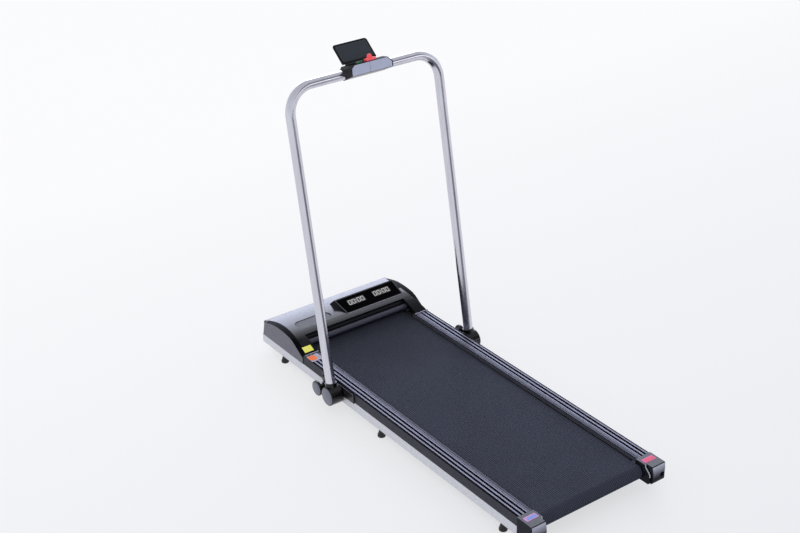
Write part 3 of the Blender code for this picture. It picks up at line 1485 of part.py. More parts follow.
def tube_point(station, radius, around):
    """A point of the bent tube's wall, at a turn around its centre line."""
    x, z, angle = station
    reach = radius * math.cos(around)
    outward = math.radians(angle)
    y = POST_SHIFT + radius * math.sin(around)
    return (x + reach * math.cos(outward), y, z + reach * math.sin(outward))


def console_point(offset):
    return (BAR_Y + offset[0], BAR_HEIGHT + offset[1])


def console_housing():
    """The upper half of the console, closed round the bar by the clamp below it."""
    half = CONSOLE_WIDTH / 2
    bore = TUBE_RADIUS + SEAT_GAP
    split = SEAT_GAP / 2
    front_view = (CONSOLE_FACE_FOOT, CONSOLE_FACE_TOP, CONSOLE_BACK_TOP, CONSOLE_BACK)
    loop = [console_point(point) for point in front_view]
    loop.append(console_point((CONSOLE_BACK[0], split)))
    loop.append(console_point((bore, split)))
    loop += arc((BAR_Y, BAR_HEIGHT), bore, 4, 176, 12)
    loop.append(console_point((-bore, split)))
    loop.append(console_point((chin_split(), split)))
    housing = across("console_housing", [loop], -half, half, PLASTIC)
    top = BAR_HEIGHT + CONSOLE_FACE_TOP[1]
    for side, sign in BOTH:
        width, drop = CONSOLE_CORNERS[side]
        outer = sign * (half + 0.001)
        inner = sign * (half - width)
        corner = [(outer, top - drop), (outer, top + 0.01), (inner, top + 0.01), (inner, top + 0.0005)]
        cutter = lengthwise(f"console_corner_{side}", [corner], BAR_Y - 0.08, BAR_Y + 0.08, None)
        cut(housing, cutter)
    root = REST_PIVOT - BACK_OUTWARD * REST_EAR_ROOT
    ear_loop = [root - BACK_SLOPE * REST_EAR_RADIUS, root + BACK_SLOPE * REST_EAR_RADIUS]
    ear_loop += arc(REST_PIVOT, REST_EAR_RADIUS, -10, 150, 6)
    ear_loop = [console_point(point) for point in ear_loop]
    for side, sign in BOTH:
        ear = across(f"rest_ear_{side}", [ear_loop], sign * REST_EAR_X, sign * (REST_EAR_X + REST_EAR), None)
        join(housing, ear)
    reach = REST_EAR_X + REST_EAR + 0.001
    hole = rod("rest_pin_hole", REST_PIN_RADIUS + RUNNING_GAP, -reach, reach, REST_AXIS, "X", None, 12)
    well_low, well_high = button_corners(RUNNING_GAP, BUTTON_TRAVEL + 0.0025, 0.02)
    well = box("button_well", well_low, well_high, None, CONSOLE_TOP_FRAME)
    cut(housing, hole, well)
    return housing


def chin_split():
    """Where the console's underside crosses the split between housing and clamp."""
    foot, chin = CONSOLE_FACE_FOOT, CONSOLE_CHIN
    return foot[0] + (chin[0] - foot[0]) * foot[1] / (foot[1] - chin[1])


def console_clamp():
    """The lower half shell that holds the console on the bar."""
    half = CONSOLE_WIDTH / 2
    bore = TUBE_RADIUS + SEAT_GAP
    split = -SEAT_GAP / 2
    loop = [console_point((chin_split() + 0.0002, split)), console_point((-bore, split))]
    loop += arc((BAR_Y, BAR_HEIGHT), bore, 184, 356, 12)
    loop += [console_point((bore, split)), console_point((CONSOLE_BACK_FOOT[0], split))]
    loop += [console_point(point) for point in (CONSOLE_BACK_FOOT, CONSOLE_BELLY, CONSOLE_CHIN)]
    return across("console_clamp", [loop], -half, half, PLASTIC)


def button_corners(grow, depth, height):
    """The button's box on the console's top, grown sideways for its well."""
    half_x = BUTTON_WIDTH / 2 + grow
    half_y = BUTTON_DEPTH / 2 + grow
    low = (BUTTON_X - half_x, CONTROLS_AHEAD - half_y, -depth)
    high = (BUTTON_X + half_x, CONTROLS_AHEAD + half_y, height)
    return low, high


def start_button():
    low, high = button_corners(0.0, BUTTON_TRAVEL + 0.0002, BUTTON_HEIGHT)
    return box("start_button", low, high, GREEN, CONSOLE_TOP_FRAME)


def safety_key():
    """A magnetic key: a flat base with a finger grip, which lifts off the console's top."""
    middle = CONTROLS_AHEAD
    half_x, half_y = KEY_WIDTH / 2, KEY_DEPTH / 2
    base_loop = rectangle((-half_x, middle - half_y), (half_x, middle + half_y), 0.004, 3)
    key = outline("safety_key", [base_loop], SEAT_GAP, KEY_BASE, RED, CONSOLE_TOP_FRAME)
    foot_half = KEY_GRIP_WIDTH / 2
    top_half = foot_half * KEY_GRIP_TAPER
    foot, top = KEY_BASE - 0.001, KEY_BASE + KEY_GRIP_HEIGHT
    grip_view = [(-foot_half, foot), (foot_half, foot), (top_half, top), (-top_half, top)]
    grip_loop = rounded(grip_view, [0.0, 0.0, 0.003, 0.003], 3)
    near, far = middle - 0.0035, middle + 0.0035
    grip = lengthwise("safety_key_grip", [grip_loop], near, far, None, CONSOLE_TOP_FRAME)
    return join(key, grip)


def device_rest():
    """The tilting plate for a phone or tablet, with its hinge barrel and pins."""
    frame = Matrix.Translation(REST_AXIS) @ Matrix.Rotation(-REST_LEAN, 4, "X")
    half = REST_WIDTH / 2
    neck = REST_EAR_X - 0.0025
    plate_loop = rounded(
        [
            (-neck, 0.0),
            (neck, 0.0),
            (neck, REST_SHOULDER - 0.0008),
            (half, REST_SHOULDER),
            (half, REST_HEIGHT),
            (-half, REST_HEIGHT),
            (-half, REST_SHOULDER),
            (-neck, REST_SHOULDER - 0.0008),
        ],
        [0.0, 0.0, 0.0, 0.002, 0.009, 0.009, 0.002, 0.0],
    )
    barrel_half = REST_EAR_X - RUNNING_GAP
    pin_half = REST_EAR_X + REST_EAR - 0.0005
    profile = [
        (0.0, pin_half),
        (REST_PIN_RADIUS, pin_half),
        (REST_PIN_RADIUS, barrel_half),
        (REST_BARREL_RADIUS, barrel_half),
        (REST_BARREL_RADIUS, -barrel_half),
        (REST_PIN_RADIUS, -barrel_half),
        (REST_PIN_RADIUS, -pin_half),
        (0.0, -pin_half),
    ]
    rest = turned("device_rest", profile, REST_AXIS, "X", SCREEN_PLATE, 16)
    thick = REST_THICKNESS / 2
    plate = lengthwise("device_rest_plate", [plate_loop], -thick, thick, None, frame)
    return join(rest, plate)


def handlebar():
    pivot = pivot_at("handlebar_pivot", (0, HUB_Y, HUB_Z))
    hang(pivot, handlebar_tube(), console_housing(), console_clamp(), *hinge_arms())
    hang(pivot, device_rest(), safety_key(), start_button())


clear_scene()
PARTS = new_collection("folding_treadmill")
CUTTERS = new_collection("cutters")

SILVER = make_material("silver_steel", (0.62, 0.63, 0.66), 0.35, 0.6)
STEEL = make_material("steel", (0.55, 0.56, 0.58), 0.3, 1.0)
DARK_STEEL = make_material("dark_steel", (0.10, 0.10, 0.11), 0.45, 0.3)
BLACK_STEEL = make_material("black_steel", (0.02, 0.02, 0.022), 0.4, 0.2)
RUBBER = make_material("rubber", (0.02, 0.02, 0.02), 0.8)
BOARD = make_material("deck_board", (0.30, 0.22, 0.15), 0.6)
BELT = make_material("belt", (0.030, 0.031, 0.037), 0.7)
RAIL = make_material("foot_rail", (0.40, 0.40, 0.45), 0.35, 0.5)
CAP = make_material("end_cap", (0.045, 0.047, 0.055), 0.35)
HOOD = make_material("hood", (0.04, 0.042, 0.055), 0.2)
HOOD_SIDE = make_material("hood_side", (0.16, 0.16, 0.19), 0.4)
WINDOW = make_material("display_window", (0.012, 0.012, 0.02), 0.06)
PLASTIC = make_material("black_plastic", (0.02, 0.02, 0.023), 0.4)
ALUMINIUM = make_material("aluminium", (0.60, 0.61, 0.63), 0.4, 1.0)
HUB = make_material("hub", (0.06, 0.06, 0.07), 0.25)
KNOB = make_material("knob", (0.08, 0.08, 0.09), 0.4)
CHROME = make_material("chrome", (0.75, 0.75, 0.78), 0.15, 1.0)
SCREEN_PLATE = make_material("rest_plate", (0.03, 0.035, 0.045), 0.45)
RED = make_material("red_plastic", (0.85, 0.04, 0.06), 0.35)
GREEN = make_material("green_plastic", (0.01, 0.08, 0.04), 0.35)

side_beams()
feet()
cross_beams()
nose_cross_beam()
transport_wheels()
deck()
running_belt()
rollers()
bearings()
axles()
foot_rails()
end_caps()
tension_screws()
motor_hood()
hood_sides()
display_window()
belly_pan()
motor()
pulleys()
drive_belt()
motor_controller()
power_inlet()
rocker_switch()
hinge_brackets()
hinge_pins()
lock_knobs()
handlebar()
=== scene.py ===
"""Looks for the folding treadmill: camera, soft studio, materials and the detailed pieces over the CAD frame.

Metres, +Z up, +Y towards the motor hood, +X to the walker's right, as in the CAD model.
"""

import math

import bmesh
import bpy
from mathutils import Matrix, Vector


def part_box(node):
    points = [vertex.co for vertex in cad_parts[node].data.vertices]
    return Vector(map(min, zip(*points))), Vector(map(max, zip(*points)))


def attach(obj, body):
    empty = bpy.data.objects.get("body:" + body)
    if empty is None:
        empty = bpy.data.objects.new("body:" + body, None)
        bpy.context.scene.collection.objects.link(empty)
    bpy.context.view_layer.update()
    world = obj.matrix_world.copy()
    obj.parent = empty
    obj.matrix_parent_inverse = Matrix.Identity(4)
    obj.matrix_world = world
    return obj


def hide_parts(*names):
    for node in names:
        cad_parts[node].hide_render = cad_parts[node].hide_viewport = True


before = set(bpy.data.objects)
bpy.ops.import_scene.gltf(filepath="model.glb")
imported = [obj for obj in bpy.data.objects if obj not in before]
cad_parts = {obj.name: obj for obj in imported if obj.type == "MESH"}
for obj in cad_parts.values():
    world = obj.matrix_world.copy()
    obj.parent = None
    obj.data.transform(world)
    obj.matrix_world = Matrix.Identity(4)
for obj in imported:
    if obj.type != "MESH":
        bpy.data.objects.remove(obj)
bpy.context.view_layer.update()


def corners(node):
    """A CAD piece's lowest and highest corners at rest, to a hundredth of a millimetre."""
    return [[round(value, 5) for value in corner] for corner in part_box(node)]


def centre_of(node):
    """The middle of a CAD piece's box, to a hundredth of a millimetre."""
    return [round((low + high) / 2, 5) for low, high in zip(*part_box(node))]


# Camera of the photograph
CAMERA_PLACE = Vector((-2.4415, -3.1286, 2.6285))
CAMERA_AZIMUTH = math.radians(-35.8704)
CAMERA_ELEVATION = math.radians(27.7672)
CAMERA_ROLL = math.radians(-1.0009)
CAMERA_LENS = 66.18
CAMERA_SENSOR = 36.0

# Places read from the CAD frame
(RAIL_INNER, RAIL_REAR, RAIL_BOTTOM), (RAIL_OUTER, RAIL_FRONT, RAIL_TOP) = corners("foot_rail_right")
BELT_HALF = corners("running_belt")[1][0]
BELT_TOP = corners("running_belt")[1][2]
REAR_ROLLER_Y, ROLLER_Z = centre_of("rear_roller")[1:]
FRONT_ROLLER_Y = centre_of("front_roller")[1]
CAP_REAR = corners("end_cap_right")[0][1]
HOOD_TIP = corners("motor_hood")[0][1]
HOOD_HALF = corners("motor_hood")[1][0]
HUB_Y, HUB_Z = centre_of("hinge_pin_right")[1:]
HUB_OUTER = corners("hinge_arm_right")[1][0]
KNOB_Y, KNOB_Z = centre_of("lock_knob_right")[1:]
KNOB_OUTER = corners("lock_knob_right")[1][0]
BRACKET_OUTER = corners("hinge_bracket_right")[1][0]
CONSOLE_HALF = corners("console_housing")[1][0]
INLET_X = centre_of("power_inlet")[0]

# Sizes that the CAD model has too
BELT_THICKNESS = 0.0016
RAIL_WALL = 0.004
RAIL_LIP = 0.003
RAIL_LIP_DEPTH = 0.0113
CAP_FLANGE_WIDTH = 0.004
TUBE_RADIUS = 0.016
TUBE_WALL = 0.0015
TUBE_SEAT = 0.0125
BEND_RADIUS = 0.085
POST_X = corners("handlebar_tube")[1][0] - TUBE_RADIUS
POST_SHIFT = 0.0026
LEAN = math.radians(10.34)
BAR_Z = 1.051
POST_LENGTH = (BAR_Z - HUB_Z + POST_SHIFT * math.sin(LEAN)) / math.cos(LEAN)
BAR_Y = HUB_Y + POST_SHIFT * math.cos(LEAN) + POST_LENGTH * math.sin(LEAN)
CONSOLE_FACE_FOOT = Vector((-0.051, 0.0085))
CONSOLE_FACE_TOP = Vector((-0.048, 0.0436))
FACE_RISE = CONSOLE_FACE_TOP - CONSOLE_FACE_FOOT
REST_PIVOT = (0.01713, 0.01974)
REST_LEAN = math.radians(51.0)
NOSE_FACE = (0.0, 0.7002, 0.09415)
NOSE_LEAN = math.radians(11.18)
DISPLAY_AHEAD = 0.0975
DISPLAY_TILT = math.radians(22.1)

# The hood, from its tip: (ahead, height) points of its top's curve and (ahead, width) points of its side rims
HOOD_TOP_LINE = ((0.0, 0.003), (0.068, 0.040), (0.163, 0.050), (0.253, 0.023))
HOOD_RIM_LINE = ((0.0, 0.006), (0.068, 0.020), (0.203, 0.036), (0.253, 0.001))
HOOD_RIM_END = 0.24
HOOD_DULL_END = 0.070
HOOD_GLOSS_START = 0.160
HOOD_LIP_CENTRE = (0.064, 0.104)
HOOD_LIP_RADIUS = 0.0105
HOOD_LIP_END = 0.072
HOOD_LIP_HALF = 0.19
RECESS_X = (-0.206, -0.063)
RECESS_AHEAD = (0.105, 0.156)
RECESS_DEPTH = 0.0005

# Heights over which the painted reflection on the caps' glossy rear side runs from dark to light
CAP_PAINTED_SHEEN_FOOT = 0.056
CAP_PAINTED_SHEEN_TOP = 0.097

# The belt's weave, and where the painted shade toward the hood begins
WEAVE_PITCH = 0.0125
WEAVE_DEPTH = 0.0004
BELT_PAINTED_SHADE_START = 0.10
BELT_ROUND = 0.0004

# The rail's strips: start and end as distances from its outer side, and a place in RAIL_FINISHES
STRIP, GROOVE, FLANK, WIDE, DIM = range(5)
RAIL_STRIPS = (
    (0.0060, 0.0116, STRIP),
    (0.0192, 0.0256, STRIP),
    (0.0330, 0.0378, STRIP),
    (0.0390, 0.0444, WIDE),
    (0.0456, 0.0522, DIM),
)
GROOVE_DEPTHS = (0.0025, 0.0025, 0.0004, 0.0004)
GROOVE_SLOPE = 0.0003
# The rail's two upper edges: distance in from the side, drop below the top, finish
RAIL_OUTER_EDGE = ((0.0, 0.0015, GROOVE), (0.0013, 0.0003, GROOVE), (0.0056, 0.0003, GROOVE))
RAIL_INNER_EDGE = ((0.0016, 0.0003, GROOVE), (0.0006, 0.0008, DIM), (0.0, 0.0018, DIM))

# Discs on the hinges, as (radius, lift), and the screws of the hinge brackets
HUB_DISC = (0.0292, 0.0005)
KNOB_DISC = (0.0222, 0.0004)
DISC_ROUND = 0.0006
BRACKET_SCREWS = (HUB_Y - 0.066, HUB_Y - 0.036, KNOB_Y + 0.019)
BRACKET_SCREW_Z = 0.0835
SCREW_RADIUS = 0.0042
SCREW_HEIGHT = 0.0022

# The console's face plates and the device rest's panel
PLATE_MARGIN = 0.0006
PLATE_FOOT = 0.0012
PLATE_TOP_MARGIN = 0.0014
PLATE_SEAM = (-0.0107, -0.0097)
PLATE_RIGHT_MARGIN = 0.0041
PLATE_LEFT_CUT = (0.0098, 0.0086)
PLATE_RIGHT_CUT = (0.0185, 0.0166)
PANEL_LOW, PANEL_HIGH = (-0.0585, 0.0115), (0.0585, 0.0720)
PANEL_CORNER = 0.006

# Thin pale strips of painted highlight at the ends of the hood's arms and under the readouts' window
TIP_HIGHLIGHT_BACK, TIP_HIGHLIGHT_AHEAD = 0.0014, 0.0008
TIP_HIGHLIGHT_HEIGHT = 0.0033
TIP_HIGHLIGHT_MARGIN = 0.002
WINDOW_HIGHLIGHT_X = (-0.0130, 0.2205)
WINDOW_HIGHLIGHT_Y = (0.0004, 0.0019)

# The readouts' digits
DIGIT_WIDTH = 0.0118
DIGIT_HEIGHT = 0.0190
DIGIT_BAR = 0.0017
DIGIT_GAP = 0.0003
DIGIT_LEAN = math.tan(math.radians(4.0))
DIGIT_SPACING = 0.0036
DIGIT_FOOT = 0.0315
DIGIT_LOW, DIGIT_HIGH = 0.00005, 0.0003
COLON_SPACING = 0.0058
COLON_SIDE = 0.0026
READOUTS = (("left", 0.0155), ("right", 0.1215))

# Labels, which lie a hair above what carries them
LABEL_LIFT = 0.0001
LABEL_THICKNESS = 0.0003
LABEL_OVER = 0.0005
LABEL_STEPS = 6
YELLOW_LABEL_X = (-0.2480, -0.2140)
YELLOW_LABEL_AHEAD = 0.0075
YELLOW_LABEL_LENGTH = 0.0215

# Steps of the smooth forms
BELT_STEPS = 36
TUBE_SIDES = 40
POST_STEPS = 12
BEND_STEPS = 20

# Shared by the materials, with the part of a noise's range that clouds spread over
COAT_ROUGHNESS = 0.08
CLOUD_LOW, CLOUD_HIGH = 0.3, 0.7
GRAIN_DEPTH = 0.0001

# The studio's bright and dim places: direction, the cosines where each begins and is full, and its levels
# outside and inside
GLOW = (0.56, 0.79, 0.24)
GLOW_TINT = (GLOW, 0.80, 0.985, 0.0, 1.0)
STUDIO_PLACES = (
    (GLOW, 0.80, 0.985, 1.0, 3.9),
    ((0.45, -0.80, 0.40), 0.90, 0.985, 1.0, 0.35),
    ((0.52, 0.47, 0.71), 0.955, 0.995, 1.0, 2.0),
    ((0.52, -0.85, 0.09), 0.970, 0.998, 1.0, 3.0),
)
SUN_STRENGTH = 0.3
SUN_SPREAD = math.radians(50.0)
SUN_DIRECTION = Vector((0.42, 0.30, -0.86))
FLOOR_HALF = 60.0
FLOOR_NEAR_Y, FLOOR_FAR_Y = -1.6, 2.4
FLOOR_DIM_CENTRE = (0.0, 0.3, 0.0)
FLOOR_DIM_DIRECTION = (0.21, -0.976, 0.0)
FLOOR_LIFT = 0.75

# Names of what repeats, the sides with the sign of their X
SIDES = (("left", -1), ("right", 1))
PLACES = ("front", "middle", "rear")
IDENTITY = Matrix.Identity(4)


def turned_about_x(angle, place):
    """A frame at a place, turned about X."""
    return Matrix.Translation(place) @ Matrix.Rotation(angle, 4, "X")


POST_FRAME = turned_about_x(-LEAN, (0.0, HUB_Y, HUB_Z))
NOSE_FRAME = turned_about_x(NOSE_LEAN, NOSE_FACE)
# The console's front face: X across, Y up the face, Z out towards the walker
FACE_FRAME = turned_about_x(
    math.atan2(FACE_RISE.y, FACE_RISE.x), (0.0, BAR_Y + CONSOLE_FACE_FOOT.x, BAR_Z + CONSOLE_FACE_FOOT.y)
)
# The device rest's plane: X across, Y up the plate, Z away from the walker
REST_PLANE = turned_about_x(-REST_LEAN, (0.0, BAR_Y + REST_PIVOT[0], BAR_Z + REST_PIVOT[1]))
REST_PLANE = REST_PLANE @ Matrix.Rotation(math.pi / 2, 4, "X")


def linear(red, green, blue):
    """A colour given in the photograph's 0 to 255 values, as the renderer's linear values."""
    values = []
    for value in (red, green, blue):
        part = value / 255
        values.append(part / 12.92 if part <= 0.04045 else ((part + 0.055) / 1.055) ** 2.4)
    return (*values, 1.0)


class Tree:
    """A node tree with short ways to add what the materials and the studio share."""

    def __init__(self, tree):
        self.nodes = tree.nodes
        self.links = tree.links

    def node(self, kind, settings=None, **inputs):
        """A new node. An input is named by its socket, with _ for a space, or by its number, as in _0."""
        made = self.nodes.new(kind)
        for key, value in (settings or {}).items():
            setattr(made, key, value)
        for key, value in inputs.items():
            socket = made.inputs[int(key[1:])] if key[1:].isdigit() else made.inputs[key.replace("_", " ")]
            if isinstance(value, bpy.types.NodeSocket):
                self.links.new(value, socket)
            else:
                socket.default_value = value
        return made

    def math(self, operation, first, second):
        """The result of one operation on two values."""
        return self.node("ShaderNodeMath", {"operation": operation}, _0=first, _1=second).outputs[0]

    def vector(self, operation, first, **inputs):
        """The results of one operation on a vector: [0] is a vector, ["Value"] a number."""
        return self.node("ShaderNodeVectorMath", {"operation": operation}, _0=first, **inputs).outputs

    def mix(self, factor, first, second):
        """Two colours mixed by a factor."""
        return self.node("ShaderNodeMix", {"data_type": "RGBA"}, _0=factor, _6=first, _7=second).outputs[2]

    def mix_shader(self, factor, first, second):
        """Two shaders mixed by a factor."""
        return self.node("ShaderNodeMixShader", _0=factor, _1=first, _2=second).outputs[0]

    def spread(self, value, low, high, to_low, to_high, interpolation="LINEAR"):
        """A value mapped from one range to another and held inside it."""
        settings = {"clamp": True, "interpolation_type": interpolation}
        ends = {"From_Min": low, "From_Max": high, "To_Min": to_low, "To_Max": to_high}
        return self.node("ShaderNodeMapRange", settings, Value=value, **ends).outputs[0]


class Surface(Tree):
    """A Principled material whose colour, roughness and bump come from nodes in object space."""

    def __init__(self, name, roughness, metallic=0.0, coat=0.0, specular=0.5):
        self.material = bpy.data.materials.new(name)
        self.material.use_nodes = True
        super().__init__(self.material.node_tree)
        self.shader = self.nodes["Principled BSDF"]
        for socket, value in (
            ("Roughness", roughness),
            ("Metallic", metallic),
            ("Coat Weight", coat),
            ("Coat Roughness", COAT_ROUGHNESS),
            ("Specular IOR Level", specular),
        ):
            self.shader.inputs[socket].default_value = value
        self.place = self.nodes.new("ShaderNodeTexCoord").outputs["Object"]

    def noise(self, scale, detail=2.0, stretch=None):
        """Noise over the part, stretched along the axes whose factor is small."""
        place = self.place
        if stretch:
            place = self.node("ShaderNodeMapping", Vector=place, Scale=stretch).outputs[0]
        return self.node("ShaderNodeTexNoise", Vector=place, Scale=scale, Detail=detail).outputs["Fac"]

    def along(self, axis, low, high, to_low, to_high):
        """A value that changes over the part along one of its own axes."""
        place = self.node("ShaderNodeSeparateXYZ", Vector=self.place).outputs[axis]
        return self.spread(place, low, high, to_low, to_high)

    def paint(self, socket):
        """The surface's colour, from a socket."""
        self.links.new(socket, self.shader.inputs["Base Color"])

    def colour(self, base, variation=0.06, scale=40.0, stretch=None):
        """The base colour with faint cloudy variation."""
        dark = (*(part * (1 - variation) for part in base[:3]), 1.0)
        light = (*(min(1.0, part * (1 + variation)) for part in base[:3]), 1.0)
        clouds = self.spread(self.noise(scale, 4.0, stretch), CLOUD_LOW, CLOUD_HIGH, 0.0, 1.0)
        self.paint(self.mix(clouds, dark, light))
        return self

    def rough(self, low, high, scale=60.0, stretch=None):
        """Roughness that wanders between two values."""
        value = self.spread(self.noise(scale, 5.0, stretch), CLOUD_LOW, CLOUD_HIGH, low, high)
        self.links.new(value, self.shader.inputs["Roughness"])

    def bump(self, height, strength, distance=GRAIN_DEPTH):
        """A bump from a height socket, up to the distance deep."""
        made = self.node("ShaderNodeBump", Height=height, Strength=strength, Distance=distance)
        self.links.new(made.outputs[0], self.shader.inputs["Normal"])


def plain(
    name, base, low, high, metallic=0.0, coat=0.0, grain=900.0, strength=0.12, variation=0.06, specular=0.5
):
    """A moulded or painted finish: cloudy colour, roughness from low to high and a fine grain."""
    surface = Surface(name, low, metallic, coat, specular)
    surface.colour(linear(*base), variation).rough(low, high)
    surface.bump(surface.noise(grain, 3.0), strength)
    return surface.material


def brushed(name, base, low, high, stretch):
    """Metal with fine streaks along the axis whose factor in stretch is small."""
    surface = Surface(name, low, metallic=1.0)
    surface.colour(linear(*base), 0.05, 60.0, stretch).rough(low, high, 80.0, stretch)
    surface.bump(surface.noise(300.0, 2.0, stretch), 0.06)
    return surface.material


def emissive(name, base, strength):
    """A lit part of the readouts."""
    surface = Surface(name, 0.4)
    surface.colour(linear(*base), 0.03).rough(0.35, 0.45)
    surface.bump(surface.noise(1500.0), 0.03)
    surface.shader.inputs["Emission Color"].default_value = linear(*base)
    surface.shader.inputs["Emission Strength"].default_value = strength
    return surface.material


def label_ink(name, *base):
    """The matt print of a plain label."""
    return plain(name, base, 0.5, 0.6, grain=800.0, strength=0.04, variation=0.03, specular=0.15)


def hood_material():
    """Gloss black moulding, duller toward its low rear edge and side arms."""
    surface = Surface("hood_gloss", 0.2)
    surface.colour(linear(15, 16, 21), 0.04).rough(0.19, 0.27)
    surface.bump(surface.noise(1600.0, 3.0), 0.02)
    gloss = surface.along(1, HOOD_TIP + HOOD_DULL_END, HOOD_TIP + HOOD_GLOSS_START, 0.10, 0.85)
    surface.links.new(gloss, surface.shader.inputs["Specular IOR Level"])
    return surface.material


def cap_rear_painted_sheen_material():
    """The caps' glossy rear side with a painted reflection: its colour runs from dark at its foot to light at
    its top.
    """
    surface = Surface("cap_rear_painted_sheen", 0.2, metallic=0.2)
    height = surface.math("POWER", surface.along(2, CAP_PAINTED_SHEEN_FOOT, CAP_PAINTED_SHEEN_TOP, 0.0, 1.0), 1.7)
    # painted reflection: the colour runs from near black at the foot to pale blue-grey at the top
    surface.paint(surface.mix(height, linear(26, 28, 36), linear(186, 189, 204)))
    surface.rough(0.18, 0.28)
    surface.bump(surface.noise(1200.0, 3.0), 0.04)
    return surface.material


def belt_material():
    """Black walking belt with a fine lozenge weave, and painted shade that darkens it toward the hood."""
    surface = Surface("belt_weave", 0.62, specular=0.03)
    turns = 2 * math.pi / WEAVE_PITCH
    across, lengthwise, upright = surface.node("ShaderNodeSeparateXYZ", Vector=surface.place).outputs
    round_belt = surface.math("ADD", lengthwise, upright)
    slant = surface.math("MULTIPLY", surface.math("ADD", across, round_belt), turns)
    other_slant = surface.math("MULTIPLY", surface.math("SUBTRACT", across, round_belt), turns)
    weave = surface.math("MULTIPLY", surface.math("SINE", slant, 0.0), surface.math("SINE", other_slant, 0.0))
    level = surface.spread(weave, -0.5, 0.5, 0.0, 1.0)
    cloud = surface.spread(surface.noise(9.0, 4.0), 0.35, 0.65, 0.0, 1.0)
    base = surface.mix(cloud, linear(31, 34, 42), linear(38, 41, 50))
    raised = surface.mix(level, base, linear(67, 71, 84))
    # painted shade: the colour darkens toward the hood
    painted_shade = surface.along(1, BELT_PAINTED_SHADE_START, HOOD_TIP, 0.0, 0.5)
    surface.paint(surface.mix(painted_shade, raised, linear(20, 21, 24)))
    surface.rough(0.5, 0.66, 120.0)
    surface.bump(level, 0.5, WEAVE_DEPTH)
    return surface.material


RAIL_METAL = {"grain": 1000.0, "strength": 0.06, "variation": 0.05, "specular": 0.1}
FINE_PLASTIC = {"grain": 1200.0, "strength": 0.04}
HOOD_GRAIN = {"grain": 1600.0, "strength": 0.02, "variation": 0.04}
GLOSS_BUTTON = {"coat": 0.3, "grain": 1500.0, "strength": 0.03, "variation": 0.03, "specular": 0.4}

SILVER = plain("silver_paint", (204, 206, 212), 0.3, 0.38, metallic=0.2, coat=0.1, grain=1400.0,
               strength=0.05, variation=0.02)
TUBE = brushed("satin_tube", (204, 205, 214), 0.14, 0.22, (1.0, 1.0, 0.04))
STEEL = brushed("turned_steel", (176, 177, 184), 0.25, 0.38, (0.1, 1.0, 1.0))
ALLOY = brushed("cast_alloy", (170, 172, 178), 0.35, 0.5, (1.0, 0.1, 1.0))
BRASS = brushed("brass_pin", (196, 166, 96), 0.25, 0.35, (1.0, 0.1, 1.0))
DARK_STEEL = plain("dark_steel_paint", (42, 43, 47), 0.4, 0.5, metallic=0.2)
BLACK_STEEL = plain("black_steel_paint", (16, 16, 20), 0.3, 0.42, metallic=0.1, coat=0.1)
RUBBER = plain("rubber", (22, 22, 25), 0.5, 0.62, grain=700.0, strength=0.2)
FOOT_RUBBER = plain("foot_rubber", (6, 6, 8), 0.2, 0.28, grain=700.0, strength=0.06, specular=0.4)
BOARD = plain("deck_board_coat", (26, 25, 25), 0.5, 0.6)
BELT = belt_material()
RAIL_FINISHES = [
    plain("rail_strip", (124, 126, 143), 0.34, 0.46, metallic=0.2, **RAIL_METAL),
    plain("rail_black", (5, 5, 8), 0.5, 0.6, strength=0.08, specular=0.02),
    plain("rail_side", (44, 46, 56), 0.34, 0.46, metallic=0.1, grain=1100.0, strength=0.1, specular=0.15),
    plain("rail_wide", (104, 106, 122), 0.38, 0.48, metallic=0.1, **RAIL_METAL),
    plain("rail_dim", (72, 74, 86), 0.38, 0.48, metallic=0.1, **RAIL_METAL),
]
CAP = plain("cap_plastic", (24, 27, 35), 0.14, 0.22, specular=0.3, **FINE_PLASTIC)
# painted shade: a darker, duller copy of the cap plastic for the caps' outer sides
CAP_SIDE_PAINTED_SHADE = plain("cap_side", (19, 22, 33), 0.24, 0.32, specular=0.08, **FINE_PLASTIC)
# painted reflection on the caps' rear side, dark to light with height
CAP_REAR_PAINTED_SHEEN = cap_rear_painted_sheen_material()
# painted highlight: near-white colour on the round edge of the black caps' inner flange
CAP_FLANGE_PAINTED_HIGHLIGHT = plain("cap_flange_painted_highlight", (212, 213, 220), 0.24, 0.32, metallic=0.2, specular=0.4, **FINE_PLASTIC)
HOOD = hood_material()
HOOD_RIM = plain("hood_rim", (9, 9, 13), 0.34, 0.44, specular=0.02, **HOOD_GRAIN)
HOOD_RECESS = plain("hood_recess", (12, 13, 17), 0.30, 0.38, grain=1600.0, strength=0.04, variation=0.04)
HOOD_LIP = plain("hood_lip", (52, 54, 68), 0.28, 0.36, specular=0.45, **HOOD_GRAIN)
# painted highlight: pale grey for the thin strips at the hood's arm ends and the window's foot
PAINTED_HIGHLIGHT_LINE = plain("painted_highlight_line", (150, 152, 166), 0.3, 0.4, specular=0.3, **HOOD_GRAIN)
HOOD_SIDE = plain("hood_side_satin", (92, 93, 104), 0.34, 0.44, metallic=0.1, grain=1000.0, strength=0.14)
WINDOW = plain("window_gloss", (3, 3, 5), 0.08, 0.14, grain=1600.0, strength=0.01, variation=0.02,
               specular=0.015)
DIGIT = emissive("digit_glow", (196, 196, 188), 0.4)
BACKLIGHT = emissive("digit_backlight", (58, 58, 60), 0.2)
BLACK = plain("black_plastic", (20, 20, 24), 0.3, 0.42, grain=1200.0)
HUB = plain("hub_black", (6, 6, 9), 0.11, 0.17, grain=1200.0, strength=0.02, specular=0.35)
KNOB = plain("knob_black", (7, 7, 10), 0.2, 0.28, grain=1200.0, strength=0.05, specular=0.35)
DISC = plain("grey_disc", (108, 110, 124), 0.34, 0.44, metallic=0.2, grain=1000.0, strength=0.1)
CONSOLE_FACE = plain(
    "console_face", (174, 180, 200), 0.34, 0.44, grain=1300.0, strength=0.05, variation=0.03, specular=0.2
)
